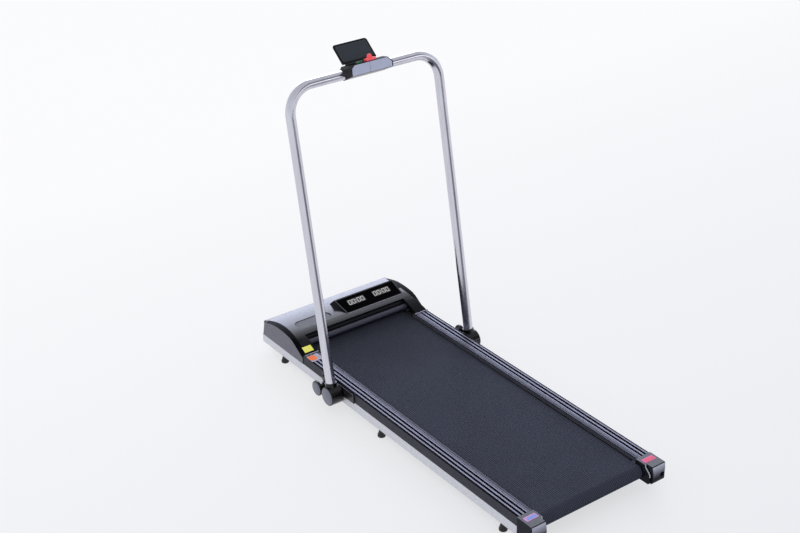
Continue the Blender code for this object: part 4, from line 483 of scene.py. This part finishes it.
CONSOLE_BLACK = plain("console_black", (7, 7, 10), 0.16, 0.24, grain=1200.0, strength=0.03, specular=0.28)
CONSOLE_TOP = plain("console_top", (9, 9, 12), 0.34, 0.42, grain=1200.0, strength=0.03, specular=0.01)
PLATE = plain("rest_plate", (47, 54, 60), 0.42, 0.52, strength=0.16, specular=0.2)
REST_RIM = plain("rest_rim", (8, 8, 11), 0.3, 0.4, grain=1200.0, strength=0.08, specular=0.15)
RED = plain("red_gloss", (253, 86, 94), 0.26, 0.34, **GLOSS_BUTTON)
GREEN = plain("green_gloss", (14, 84, 50), 0.28, 0.36, **GLOSS_BUTTON)
YELLOW = label_ink("yellow_label", 240, 238, 112)
ORANGE = label_ink("orange_label", 238, 118, 56)
PINK = label_ink("pink_label", 222, 116, 164)
VIOLET = label_ink("violet_label", 196, 150, 196)
CORAL = label_ink("coral_label", 232, 96, 120)
BLUE = label_ink("blue_label", 132, 152, 214)
PALE = label_ink("pale_patch", 168, 164, 178)


def finish_piece(name, builder, materials, body, bevel=0.0, segments=2, sharp=32.0, replaces=()):
    """Turns a bmesh into a shown piece that rides on a body, with its sharp edges kept or rounded."""
    bmesh.ops.recalc_face_normals(builder, faces=builder.faces)
    mesh = bpy.data.meshes.new(name)
    builder.to_mesh(mesh)
    builder.free()
    for material in materials:
        mesh.materials.append(material)
    mesh.polygons.foreach_set("use_smooth", [True] * len(mesh.polygons))
    piece = bpy.data.objects.new(name, mesh)
    bpy.context.scene.collection.objects.link(piece)
    if bevel:
        edge = piece.modifiers.new("edge", "BEVEL")
        edge.width = bevel
        edge.segments = segments
        edge.limit_method = "ANGLE"
        edge.angle_limit = math.radians(sharp)
        piece.modifiers.new("normals", "WEIGHTED_NORMAL").keep_sharp = True
    else:
        mesh.set_sharp_from_angle(angle=math.radians(sharp))
    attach(piece, body)
    if replaces:
        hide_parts(*replaces)


def dress(node, material, body, bevel=0.0006, segments=2, sharp=32.0, others=(), where=None):
    """A CAD part's own form with rounded edges and smooth shading, in its place.

    With others, the function where gives each face's place in (material, *others) from its centre and normal.
    """
    builder = bmesh.new()
    builder.from_mesh(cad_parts[node].data)
    bmesh.ops.remove_doubles(builder, verts=builder.verts, dist=2e-6)
    flat = math.radians(0.4)
    bmesh.ops.dissolve_limit(builder, angle_limit=flat, verts=builder.verts, edges=builder.edges)
    if where:
        for face in builder.faces:
            face.material_index = where(face.calc_center_median(), face.normal)
    finish_piece(f"{node}_finish", builder, [material, *others], body, bevel, segments, sharp, (node,))


def repaint(material, *nodes):
    """A better material on CAD nodes whose shape stays."""
    for node in nodes:
        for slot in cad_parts[node].material_slots:
            slot.material = material


def prism(loop, low, high, place=IDENTITY, builder=None):
    """A flat outline in (x, y) thickened along its own Z from low to high."""
    builder = builder or bmesh.new()
    bottom = [builder.verts.new(place @ Vector((x, y, low))) for x, y in loop]
    top = [builder.verts.new(place @ Vector((x, y, high))) for x, y in loop]
    builder.faces.new(bottom[::-1])
    builder.faces.new(top)
    join_rings(builder, bottom, top)
    return builder


def join_rings(builder, lower, upper):
    """Faces between two closed rows of points, as a list."""
    made = []
    for i in range(len(lower)):
        j = (i + 1) % len(lower)
        made.append(builder.faces.new((lower[i], lower[j], upper[j], upper[i])))
    return made


def arc(centre, radius, start, end, steps):
    """Points on an arc, with its angles in degrees."""
    points = []
    for step in range(steps + 1):
        angle = math.radians(start + (end - start) * step / steps)
        points.append((centre[0] + radius * math.cos(angle), centre[1] + radius * math.sin(angle)))
    return points


def rounded_box(low, high, radius, steps=5):
    """The outline of a box with round corners."""
    (x1, y1), (x2, y2) = low, high
    centres = ((x2 - radius, y2 - radius), (x1 + radius, y2 - radius), (x1 + radius, y1 + radius),
               (x2 - radius, y1 + radius))
    points = []
    for number, centre in enumerate(centres):
        start = 90 * number
        points += arc(centre, radius, start, start + 90, steps)
    return points


def turned(profile, centre, sign, sides=48):
    """(radius, height) points turned about X, with the heights going out on the side of the sign."""
    builder = bmesh.new()
    place = Matrix.Translation(centre) @ Matrix.Rotation(sign * math.pi / 2, 4, "Y")
    rows = []
    for radius, height in profile:
        if radius == 0:
            rows.append([builder.verts.new(place @ Vector((0, 0, height)))])
            continue
        row = []
        for side in range(sides):
            angle = 2 * math.pi * side / sides
            spot = Vector((radius * math.cos(angle), radius * math.sin(angle), height))
            row.append(builder.verts.new(place @ spot))
        rows.append(row)
    for lower, upper in zip(rows, rows[1:]):
        if len(lower) == len(upper):
            join_rings(builder, lower, upper)
            continue
        for side in range(sides):
            after = (side + 1) % sides
            if len(lower) == 1:
                builder.faces.new((lower[0], upper[after], upper[side]))
            else:
                builder.faces.new((lower[side], lower[after], upper[0]))
    return builder


def closed_loft(rings):
    """A ring-shaped solid through sections, the last joined to the first."""
    builder = bmesh.new()
    rows = [[builder.verts.new(point) for point in ring] for ring in rings]
    for lower, upper in zip(rows, rows[1:] + rows[:1]):
        join_rings(builder, lower, upper)
    return builder


def bezier(controls, t):
    """A point on the cubic curve of four control points."""
    p0, p1, p2, p3 = (Vector(point) for point in controls)
    return (1 - t) ** 3 * p0 + 3 * (1 - t) ** 2 * t * p1 + 3 * (1 - t) * t * t * p2 + t**3 * p3


def hood_height(along):
    """The hood's top, at a distance ahead of its tip."""
    low, high = 0.0, 1.0
    for _ in range(40):
        middle = (low + high) / 2
        if bezier(HOOD_TOP_LINE, middle).x < along:
            low = middle
        else:
            high = middle
    return RAIL_TOP + bezier(HOOD_TOP_LINE, low).y


DISPLAY_FRAME = turned_about_x(DISPLAY_TILT, (0.0, HOOD_TIP + DISPLAY_AHEAD, hood_height(DISPLAY_AHEAD)))


def make_camera():
    """The photograph's camera, from its place, its two angles and a small roll."""
    azimuth, elevation = CAMERA_AZIMUTH, CAMERA_ELEVATION
    back = Vector((
        math.sin(azimuth) * math.cos(elevation),
        -math.cos(azimuth) * math.cos(elevation),
        math.sin(elevation),
    ))
    right = (-back).cross(Vector((0, 0, 1))).normalized()
    up = right.cross(-back)
    rolled_right = right * math.cos(CAMERA_ROLL) + up * math.sin(CAMERA_ROLL)
    rolled_up = up * math.cos(CAMERA_ROLL) - right * math.sin(CAMERA_ROLL)
    data = bpy.data.cameras.new("camera")
    data.lens = CAMERA_LENS
    data.sensor_fit = "HORIZONTAL"
    data.sensor_width = CAMERA_SENSOR
    data.clip_start = 0.05
    data.clip_end = 200.0
    camera = bpy.data.objects.new("camera", data)
    turn = Matrix((rolled_right, rolled_up, back)).transposed().to_4x4()
    camera.matrix_world = Matrix.Translation(CAMERA_PLACE) @ turn
    bpy.context.scene.collection.objects.link(camera)
    bpy.context.scene.camera = camera


def make_floor():
    """A pale floor: lifted towards white for the camera, darker behind the walker where metal reflects it."""
    builder = bmesh.new()
    bmesh.ops.create_grid(builder, x_segments=2, y_segments=2, size=FLOOR_HALF)
    mesh = bpy.data.meshes.new("floor")
    builder.to_mesh(mesh)
    builder.free()
    surface = Surface("studio_floor", 0.7, specular=0.0)
    surface.colour(linear(246, 247, 248), 0.01, 0.4).rough(0.6, 0.8, 3.0)
    surface.bump(surface.noise(40.0, 2.0), 0.02, 0.0002)
    far = surface.along(1, FLOOR_NEAR_Y, FLOOR_FAR_Y, 0.0, 1.0)
    paleness = surface.mix(far, linear(231, 232, 235), linear(254, 254, 254))
    white = surface.node("ShaderNodeEmission", Color=paleness, Strength=1.0).outputs[0]
    away = surface.vector("SUBTRACT", surface.place, _1=FLOOR_DIM_CENTRE)[0]
    facing = surface.vector("DOT_PRODUCT", surface.vector("NORMALIZE", away)[0], _1=FLOOR_DIM_DIRECTION)
    behind = surface.spread(facing["Value"], 0.86, 0.985, 0.0, 1.0)
    seen = surface.mix(behind, linear(248, 248, 252), linear(120, 120, 128))
    mirrored = surface.node("ShaderNodeEmission", Color=seen, Strength=1.0).outputs[0]
    path = surface.node("ShaderNodeLightPath").outputs
    lift = surface.math("MULTIPLY", path["Is Camera Ray"], FLOOR_LIFT)
    shown = surface.mix_shader(lift, surface.shader.outputs[0], white)
    whole = surface.mix_shader(path["Is Glossy Ray"], shown, mirrored)
    surface.links.new(whole, surface.nodes["Material Output"].inputs["Surface"])
    mesh.materials.append(surface.material)
    floor = bpy.data.objects.new("floor", mesh)
    bpy.context.scene.collection.objects.link(floor)


def make_world():
    """A soft studio with a glow ahead of the machine, a dim place behind the walker and two bright ones."""
    world = bpy.data.worlds.new("studio")
    bpy.context.scene.world = world
    world.use_nodes = True
    studio = Tree(world.node_tree)
    place = studio.node("ShaderNodeTexCoord").outputs["Generated"]
    ramp = studio.node("ShaderNodeValToRGB", _0=studio.node("ShaderNodeSeparateXYZ", _0=place).outputs[2])
    level_end, crown_end = ramp.color_ramp.elements
    level_end.color = (0.92, 0.92, 0.97, 1.0)
    crown_end.color = (0.66, 0.66, 0.70, 1.0)

    def level(direction, *steps):
        facing = studio.vector("DOT_PRODUCT", place, _1=direction)["Value"]
        return studio.spread(facing, *steps, interpolation="SMOOTHSTEP")

    strength = level(*STUDIO_PLACES[0])
    for patch in STUDIO_PLACES[1:]:
        strength = studio.math("MULTIPLY", strength, level(*patch))
    light = studio.nodes["Background"]
    tinted = studio.mix(level(*GLOW_TINT), ramp.outputs[0], (0.77, 0.81, 1.0, 1.0))
    studio.links.new(tinted, light.inputs["Color"])
    studio.links.new(strength, light.inputs["Strength"])
    white = studio.node("ShaderNodeBackground", Color=linear(249, 250, 251)).outputs[0]
    seen = studio.node("ShaderNodeLightPath").outputs["Is Camera Ray"]
    whole = studio.mix_shader(seen, light.outputs[0], white)
    studio.links.new(whole, studio.nodes["World Output"].inputs["Surface"])


def make_sun():
    """One wide, weak lamp that gives the soft shadow its direction."""
    data = bpy.data.lights.new("key_sun", "SUN")
    data.energy = SUN_STRENGTH
    data.angle = SUN_SPREAD
    sun = bpy.data.objects.new("key_sun", data)
    sun.rotation_mode = "QUATERNION"
    sun.rotation_quaternion = SUN_DIRECTION.to_track_quat("-Z", "Y")
    sun.visible_glossy = False
    bpy.context.scene.collection.objects.link(sun)


def rail_profile():
    """The rail's outline from its outer foot round, as (x, z, finish of the side that starts there)."""
    profile = [(RAIL_OUTER, RAIL_BOTTOM, FLANK)]
    profile += [(RAIL_OUTER - inward, RAIL_TOP - drop, finish) for inward, drop, finish in RAIL_OUTER_EDGE]
    for number, (start, end, finish) in enumerate(RAIL_STRIPS):
        profile += [(RAIL_OUTER - start, RAIL_TOP, finish), (RAIL_OUTER - end, RAIL_TOP, GROOVE)]
        if number < len(GROOVE_DEPTHS):
            depth = RAIL_TOP - GROOVE_DEPTHS[number]
            after = RAIL_STRIPS[number + 1][0]
            profile.append((RAIL_OUTER - end - GROOVE_SLOPE, depth, GROOVE))
            profile.append((RAIL_OUTER - after + GROOVE_SLOPE, depth, GROOVE))
    profile += [(RAIL_INNER + inward, RAIL_TOP - drop, finish) for inward, drop, finish in RAIL_INNER_EDGE]
    ceiling = RAIL_TOP - RAIL_WALL
    lip_foot = RAIL_TOP - RAIL_LIP_DEPTH
    return profile + [
        (RAIL_INNER, lip_foot, GROOVE),
        (RAIL_INNER + RAIL_LIP, lip_foot, GROOVE),
        (RAIL_INNER + RAIL_LIP, ceiling, GROOVE),
        (RAIL_OUTER - RAIL_WALL, ceiling, GROOVE),
        (RAIL_OUTER - RAIL_WALL, RAIL_BOTTOM, GROOVE),
    ]


def rail_pieces():
    """Foot rails with their grooves: silver strips between black grooves, over a dark outer side."""
    profile = rail_profile()
    for side, sign in SIDES:
        builder = bmesh.new()
        rear, front = (
            [builder.verts.new((sign * x, y, z)) for x, z, _ in profile] for y in (RAIL_REAR, RAIL_FRONT)
        )
        for face, (_, _, finish) in zip(join_rings(builder, rear, front), profile):
            face.material_index = finish
        for row in (rear[::-1], front):
            builder.faces.new(row).material_index = GROOVE
        finish_piece(f"foot_rail_{side}_strips", builder, RAIL_FINISHES, "base", bevel=0.0002,
                     sharp=25.0, replaces=(f"foot_rail_{side}",))


def belt_piece():
    """The endless belt, smooth round both rollers, with its thin edge showing."""
    outer_radius = BELT_TOP - ROLLER_Z
    loops = []
    for radius in (outer_radius, outer_radius - BELT_THICKNESS):
        loop = arc((REAR_ROLLER_Y, ROLLER_Z), radius, 90, 270, BELT_STEPS)
        loop += arc((FRONT_ROLLER_Y, ROLLER_Z), radius, -90, 90, BELT_STEPS)
        loops.append(loop)
    shoulder = BELT_HALF - BELT_ROUND
    sections = []
    for outer, inner in zip(*loops):
        soft = Vector(outer).lerp(Vector(inner), BELT_ROUND / BELT_THICKNESS)
        sections.append([
            (-shoulder, *outer), (shoulder, *outer), (BELT_HALF, *soft), (BELT_HALF, *inner),
            (-BELT_HALF, *inner), (-BELT_HALF, *soft),
        ])
    finish_piece("running_belt_weave", closed_loft(sections), [BELT], "base", sharp=40.0,
                 replaces=("running_belt",))


def tube_stations():
    """The bent tube's centre line in its own frame, as (x, z, degrees toward its outer side)."""
    corner_x = POST_X - BEND_RADIUS
    corner_z = POST_LENGTH - BEND_RADIUS
    heights = [TUBE_SEAT + (corner_z - TUBE_SEAT) * row / POST_STEPS for row in range(POST_STEPS)]
    stations = [(-POST_X, height, 180) for height in heights]
    for centre_x, start in ((-corner_x, 180), (corner_x, 90)):
        for step in range(BEND_STEPS + 1):
            angle = start - 90 * step / BEND_STEPS
            x = centre_x + BEND_RADIUS * math.cos(math.radians(angle))
            z = corner_z + BEND_RADIUS * math.sin(math.radians(angle))
            stations.append((x, z, angle))
    return stations + [(POST_X, height, 0) for height in heights[::-1]]


def tube_piece():
    """The bent tube, smooth round its two bends, with its bore."""
    stations = tube_stations()
    rings = []
    for side in range(TUBE_SIDES):
        around = 2 * math.pi * side / TUBE_SIDES
        ring = []
        for radius, order in ((TUBE_RADIUS, stations), (TUBE_RADIUS - TUBE_WALL, stations[::-1])):
            reach = radius * math.cos(around)
            y = POST_SHIFT + radius * math.sin(around)
            for x, z, angle in order:
                outward = math.radians(angle)
                spot = Vector((x + reach * math.cos(outward), y, z + reach * math.sin(outward)))
                ring.append(POST_FRAME @ spot)
        rings.append(ring)
    finish_piece("handlebar_tube_satin", closed_loft(rings), [TUBE], "handlebar", sharp=50.0,
                 replaces=("handlebar_tube",))


def hinge_pieces():
    """Cast hinge arms, lock knobs and brackets, with the discs and screw heads on them."""
    for side, sign in SIDES:
        dress(f"hinge_arm_{side}", HUB, "handlebar", 0.0009, 3)
        dress(f"lock_knob_{side}", KNOB, f"lock_knob_{side}", 0.0006)
        hub = (sign * HUB_OUTER, HUB_Y, HUB_Z)
        face_disc(f"hub_disc_{side}", hub, sign, *HUB_DISC, "handlebar", "hub")
        knob = (sign * KNOB_OUTER, KNOB_Y, KNOB_Z)
        face_disc(f"knob_disc_{side}", knob, sign, *KNOB_DISC, f"lock_knob_{side}", "knob")
        dress(f"hinge_bracket_{side}", BLACK_STEEL, "base", 0.0005)
        for number, y in enumerate(BRACKET_SCREWS):
            name = f"bracket_screw_{number}_{side}"
            head = screw_head((sign * BRACKET_OUTER, y, BRACKET_SCREW_Z), sign)
            finish_piece(name, head, [BLACK_STEEL], "base", sharp=40.0)


def face_disc(name, centre, sign, radius, lift, body, slot):
    """A thin grey disc with a soft edge on a round face."""
    profile = [(0.0, lift), (radius - DISC_ROUND, lift), (radius, 0.0001), (radius, -0.0002)]
    finish_piece(name, turned(profile, centre, sign), [DISC], body, sharp=40.0)


def screw_head(centre, sign):
    """A round head with a round socket."""
    socket = SCREW_RADIUS * 0.52
    profile = [
        (SCREW_RADIUS, -0.0001),
        (SCREW_RADIUS, SCREW_HEIGHT * 0.7),
        (SCREW_RADIUS * 0.86, SCREW_HEIGHT),
        (socket, SCREW_HEIGHT),
        (socket * 0.96, SCREW_HEIGHT * 0.35),
        (0.0, SCREW_HEIGHT * 0.3),
    ]
    return turned(profile, centre, sign, 24)


def console_pieces():
    """The console with its face plates, the device rest, the key and the button."""
    dress("console_housing", CONSOLE_BLACK, "handlebar", 0.0022, 4, others=(CONSOLE_TOP,),
          where=console_side)
    dress("console_clamp", CONSOLE_BLACK, "handlebar", 0.0008)
    console_faces()
    dress("device_rest", REST_RIM, "device_rest", 0.0007)
    panel = prism(rounded_box(PANEL_LOW, PANEL_HIGH, PANEL_CORNER), 0.0014, 0.0021, REST_PLANE)
    finish_piece("device_rest_panel", panel, [PLATE], "device_rest", bevel=0.0002)
    dress("safety_key", RED, "safety_key", 0.0012, 3)
    dress("start_button", GREEN, "start_button", 0.0012, 3)


def console_side(centre, normal):
    """1 on the console's matt top, 0 elsewhere."""
    return int(normal.z > 0.8)


def console_faces():
    """Two pale plates on the console's face with a seam between, each with its outer upper corner cut off."""
    foot, top = PLATE_FOOT, FACE_RISE.length - PLATE_TOP_MARGIN
    left, right = PLATE_MARGIN - CONSOLE_HALF, CONSOLE_HALF - PLATE_RIGHT_MARGIN
    seam_left, seam_right = PLATE_SEAM
    cut_x, cut_y = PLATE_LEFT_CUT
    left_loop = [(left, foot), (seam_left, foot), (seam_left, top), (left + cut_x, top), (left, top - cut_y)]
    cut_x, cut_y = PLATE_RIGHT_CUT
    right_loop = [
        (seam_right, foot), (right, foot), (right, top - cut_y), (right - cut_x, top), (seam_right, top),
    ]
    for side, loop in (("left", left_loop), ("right", right_loop)):
        name = f"console_face_{side}"
        plate = prism(loop, -0.0001, 0.0009, FACE_FRAME)
        finish_piece(name, plate, [CONSOLE_FACE], "handlebar", bevel=0.0004)


def value_at(points, along):
    """Straight-line value between (along, value) points."""
    for (x1, y1), (x2, y2) in zip(points, points[1:]):
        if x1 <= along <= x2:
            return y1 + (y2 - y1) * (along - x1) / (x2 - x1)
    return points[0][1] if along < points[0][0] else points[-1][1]


def hood_side_of(centre, normal):
    """1 on the black rim along the side arches, 2 in the shallow recess, 3 on the rolled lip, 0 elsewhere."""
    ahead = centre.y - HOOD_TIP
    near_lip = math.dist((ahead, centre.z), HOOD_LIP_CENTRE) < HOOD_LIP_RADIUS and ahead < HOOD_LIP_END
    if near_lip and abs(centre.x) < HOOD_LIP_HALF:
        return 3
    over_recess = RECESS_X[0] < centre.x < RECESS_X[1] and RECESS_AHEAD[0] < ahead < RECESS_AHEAD[1]
    if over_recess and centre.z < hood_height(ahead) - RECESS_DEPTH:
        return 2
    rim_inner = HOOD_HALF - value_at(HOOD_RIM_LINE, ahead) - 0.001
    return int(abs(centre.x) > rim_inner and ahead < HOOD_RIM_END)


def hood_pieces():
    """The hood with its finishes, its side walls, thin strips of painted highlight and the readouts."""
    finishes = (HOOD_RIM, HOOD_RECESS, HOOD_LIP)
    dress("motor_hood", HOOD, "base", 0.0009, 3, 30.0, finishes, hood_side_of)
    for side, sign in SIDES:
        dress(f"hood_side_{side}", HOOD_SIDE, "base", 0.0005)
        # painted highlight: a pale strip laid over the end of each hood arm
        low_x, high_x = sorted((sign * RAIL_OUTER, sign * (RAIL_INNER + TIP_HIGHLIGHT_MARGIN)))
        loop = rounded_box((low_x, HOOD_TIP - TIP_HIGHLIGHT_BACK), (high_x, HOOD_TIP + TIP_HIGHLIGHT_AHEAD), 0.0005, 2)
        edge = prism(loop, RAIL_TOP + LABEL_LIFT, RAIL_TOP + LABEL_LIFT + TIP_HIGHLIGHT_HEIGHT)
        finish_piece(f"hood_tip_painted_highlight_{side}", edge, [PAINTED_HIGHLIGHT_LINE], "base", bevel=0.0002)
    dress("display_window", WINDOW, "base", 0.0004)
    # painted highlight: a pale strip along the foot of the readouts' window
    (left, right), (low, high) = WINDOW_HIGHLIGHT_X, WINDOW_HIGHLIGHT_Y
    edge = prism([(left, low), (right, low), (right, high), (left, high)], -0.0002, 0.0004, DISPLAY_FRAME)
    finish_piece("display_painted_highlight", edge, [PAINTED_HIGHLIGHT_LINE], "base", bevel=0.0002)
    digit_pieces()
    label_on_hood()


def digit_pieces():
    """Two clock readouts of four plain zeros, each over a faintly lit panel."""
    for group, left in READOUTS:
        builder = bmesh.new()
        x = left
        for number in range(4):
            for loop in zero_segments(x, DIGIT_FOOT):
                prism(loop, DIGIT_LOW, DIGIT_HIGH, DISPLAY_FRAME, builder)
            x += DIGIT_WIDTH + DIGIT_SPACING
            if number == 1:
                colon_dots(builder, x)
                x += COLON_SPACING
        finish_piece(f"display_digits_{group}", builder, [DIGIT], "base", sharp=30.0)
        low = (left - 0.002, DIGIT_FOOT - 0.0025)
        high = (x + 0.0005, DIGIT_FOOT + DIGIT_HEIGHT + 0.0025)
        panel = prism(rounded_box(low, high, 0.001, 2), 0.0, 0.00004, DISPLAY_FRAME)
        finish_piece(f"display_panel_{group}", panel, [BACKLIGHT], "base", sharp=30.0)


def colon_dots(builder, x):
    """The two dots between the hours and the minutes."""
    for share in (0.3, 0.7):
        foot = DIGIT_FOOT + DIGIT_HEIGHT * share - COLON_SIDE / 2
        dot = rounded_box((x - 0.0002, foot), (x - 0.0002 + COLON_SIDE, foot + COLON_SIDE), 0.0005, 2)
        prism(dot, DIGIT_LOW, DIGIT_HIGH, DISPLAY_FRAME, builder)


def zero_segments(x, y):
    """The six lit bars of a plain zero."""
    bar, gap, half = DIGIT_BAR, DIGIT_GAP, DIGIT_BAR / 2
    right, top, middle = DIGIT_WIDTH, DIGIT_HEIGHT, DIGIT_HEIGHT / 2
    loops = []
    for level in (half, top - half):
        loops.append([
            (half + gap, level), (bar + gap, level - half), (right - bar - gap, level - half),
            (right - half - gap, level), (right - bar - gap, level + half), (bar + gap, level + half),
        ])
    for column in (half, right - half):
        for low, high in ((half + gap, middle - gap), (middle + gap, top - half - gap)):
            loops.append([
                (column, low), (column + half, low + half), (column + half, high - half), (column, high),
                (column - half, high - half), (column - half, low + half),
            ])
    return [[(x + px + DIGIT_LEAN * py, y + py) for px, py in loop] for loop in loops]


def label_on_hood():
    """The plain yellow label on the hood's left foot, laid along its curve."""
    builder = bmesh.new()
    rows = []
    for lift in (LABEL_LIFT, LABEL_OVER):
        row = []
        for step in range(LABEL_STEPS + 1):
            along = YELLOW_LABEL_AHEAD + YELLOW_LABEL_LENGTH * step / LABEL_STEPS
            height = hood_height(along) + lift
            row.append([builder.verts.new((x, HOOD_TIP + along, height)) for x in YELLOW_LABEL_X])
        rows.append(row)
    bottom, top = rows
    for step in range(LABEL_STEPS):
        after = step + 1
        builder.faces.new((bottom[step][0], bottom[after][0], bottom[after][1], bottom[step][1]))
        builder.faces.new((top[step][0], top[step][1], top[after][1], top[after][0]))
        for edge in (0, 1):
            builder.faces.new((bottom[step][edge], bottom[after][edge], top[after][edge], top[step][edge]))
    for step in (0, LABEL_STEPS):
        builder.faces.new((bottom[step][0], bottom[step][1], top[step][1], top[step][0]))
    finish_piece("yellow_label", builder, [YELLOW], "base", sharp=30.0)


def flat_label(name, low, high, radius, lift, material, slot):
    """A thin flat label over the rail tops' height."""
    label = prism(rounded_box(low, high, radius), RAIL_TOP + lift, RAIL_TOP + lift + LABEL_THICKNESS)
    finish_piece(name, label, [material], "base", sharp=30.0)


def label_pieces():
    """Plain coloured labels, left without words: one by the hood, and two on each cap, one over the other."""
    patch = ((0.0005 - RAIL_OUTER, HOOD_TIP - 0.0455), (-RAIL_INNER - 0.012, HOOD_TIP - 0.0065))
    flat_label("orange_patch", *patch, 0.003, LABEL_LIFT, PALE, "foot_rail")
    label = ((0.0015 - RAIL_OUTER, HOOD_TIP - 0.0385), (-RAIL_INNER - 0.028, HOOD_TIP - 0.0085))
    flat_label("orange_label", *label, 0.010, LABEL_OVER, ORANGE, "foot_rail")
    rear, front = CAP_REAR + 0.0335, CAP_REAR + 0.0535
    for side, sign, ground, centre in (("left", -1, VIOLET, BLUE), ("right", 1, PINK, CORAL)):
        low_x, high_x = sorted((sign * (RAIL_INNER + 0.007), sign * (RAIL_OUTER - 0.005)))
        flat_label(f"cap_label_{side}", (low_x, rear), (high_x, front), 0.0015, LABEL_LIFT, ground, "end_cap")
        low, high = (low_x + 0.008, rear + 0.003), (high_x - 0.004, front - 0.005)
        flat_label(f"cap_label_{side}_centre", low, high, 0.001, LABEL_OVER, centre, "end_cap")


def cap_side_of(centre, normal):
    """1 on a cap's rear side with its painted reflection, 2 on its outer side with its painted shade, 3 on
    the inner flange's round edge with its painted highlight, 0 elsewhere.
    """
    if abs(centre.x) < RAIL_INNER + CAP_FLANGE_WIDTH and normal.y < -0.6 and centre.z > CAP_PAINTED_SHEEN_FOOT:
        return 3
    if normal.y < -0.5 and centre.z < RAIL_TOP - 0.0025:
        return 1
    return 2 if normal.x * centre.x > 0 and abs(normal.x) > 0.7 else 0


def cap_pieces():
    """The rear end caps and the belt's tension screws in them."""
    # the rear side with its painted reflection, the outer sides with painted shade, the flange edge with a
    # painted highlight
    finishes = (CAP_REAR_PAINTED_SHEEN, CAP_SIDE_PAINTED_SHADE, CAP_FLANGE_PAINTED_HIGHLIGHT)
    for side, _ in SIDES:
        dress(f"end_cap_{side}", CAP, "base", 0.0016, 3, 28.0, finishes, cap_side_of)
        dress(f"tension_screw_{side}", STEEL, f"tension_screw_{side}", 0.0004)


def small_pieces():
    """Feet, side beams, transport wheels, the nose beam, the mains inlet and its switch."""
    for side, _ in SIDES:
        for place in PLACES:
            dress(f"foot_{place}_{side}", FOOT_RUBBER, "base", 0.0008)
        dress(f"side_beam_{side}", SILVER, "base", 0.0009)
        dress(f"transport_wheel_{side}", RUBBER, f"transport_wheel_{side}", 0.0004)
    dress("nose_cross_beam", SILVER, "base", 0.0006)
    dress("power_inlet", BLACK, "base", 0.0005)
    dress("rocker_switch", BLACK, "rocker_switch", 0.0005)
    inlet_pins()


def inlet_pins():
    """Three flat contact pins inside the mains socket."""
    place = NOSE_FRAME @ Matrix.Rotation(math.pi / 2, 4, "X")
    for number, (shift, z) in enumerate(((-0.007, -0.0145), (0.007, -0.0145), (0.0, -0.0095))):
        x = INLET_X + shift
        loop = rounded_box((x - 0.0010, z - 0.0020), (x + 0.0010, z + 0.0020), 0.0006, 3)
        pin = prism(loop, 0.003, 0.0185, place)
        finish_piece(f"inlet_pin_{number}", pin, [BRASS], "base", bevel=0.0002)


def paint_frame():
    """Materials for the CAD parts whose own shape is shown."""
    repaint(STEEL, "rear_roller", "front_roller", "front_axle", "rear_axle", "motor_flywheel", "motor_pulley",
            "roller_pulley")
    for side, _ in SIDES:
        repaint(STEEL, f"rear_bearing_{side}", f"front_bearing_{side}", f"hinge_pin_{side}")
        repaint(RUBBER, f"deck_cushion_{side}")
    for place in PLACES:
        repaint(DARK_STEEL, f"{place}_cross_beam")
    repaint(DARK_STEEL, "motor_case", "motor_bracket")
    repaint(RUBBER, "drive_belt")
    repaint(BOARD, "deck_board")
    repaint(BLACK, "belly_pan")
    repaint(ALLOY, "motor_controller")


make_camera()
make_floor()
make_world()
make_sun()
paint_frame()
rail_pieces()
belt_piece()
tube_piece()
hinge_pieces()
console_pieces()
hood_pieces()
label_pieces()
cap_pieces()
small_pieces()

bpy.context.scene.view_settings.view_transform = "Standard"
bpy.context.view_layer.update()
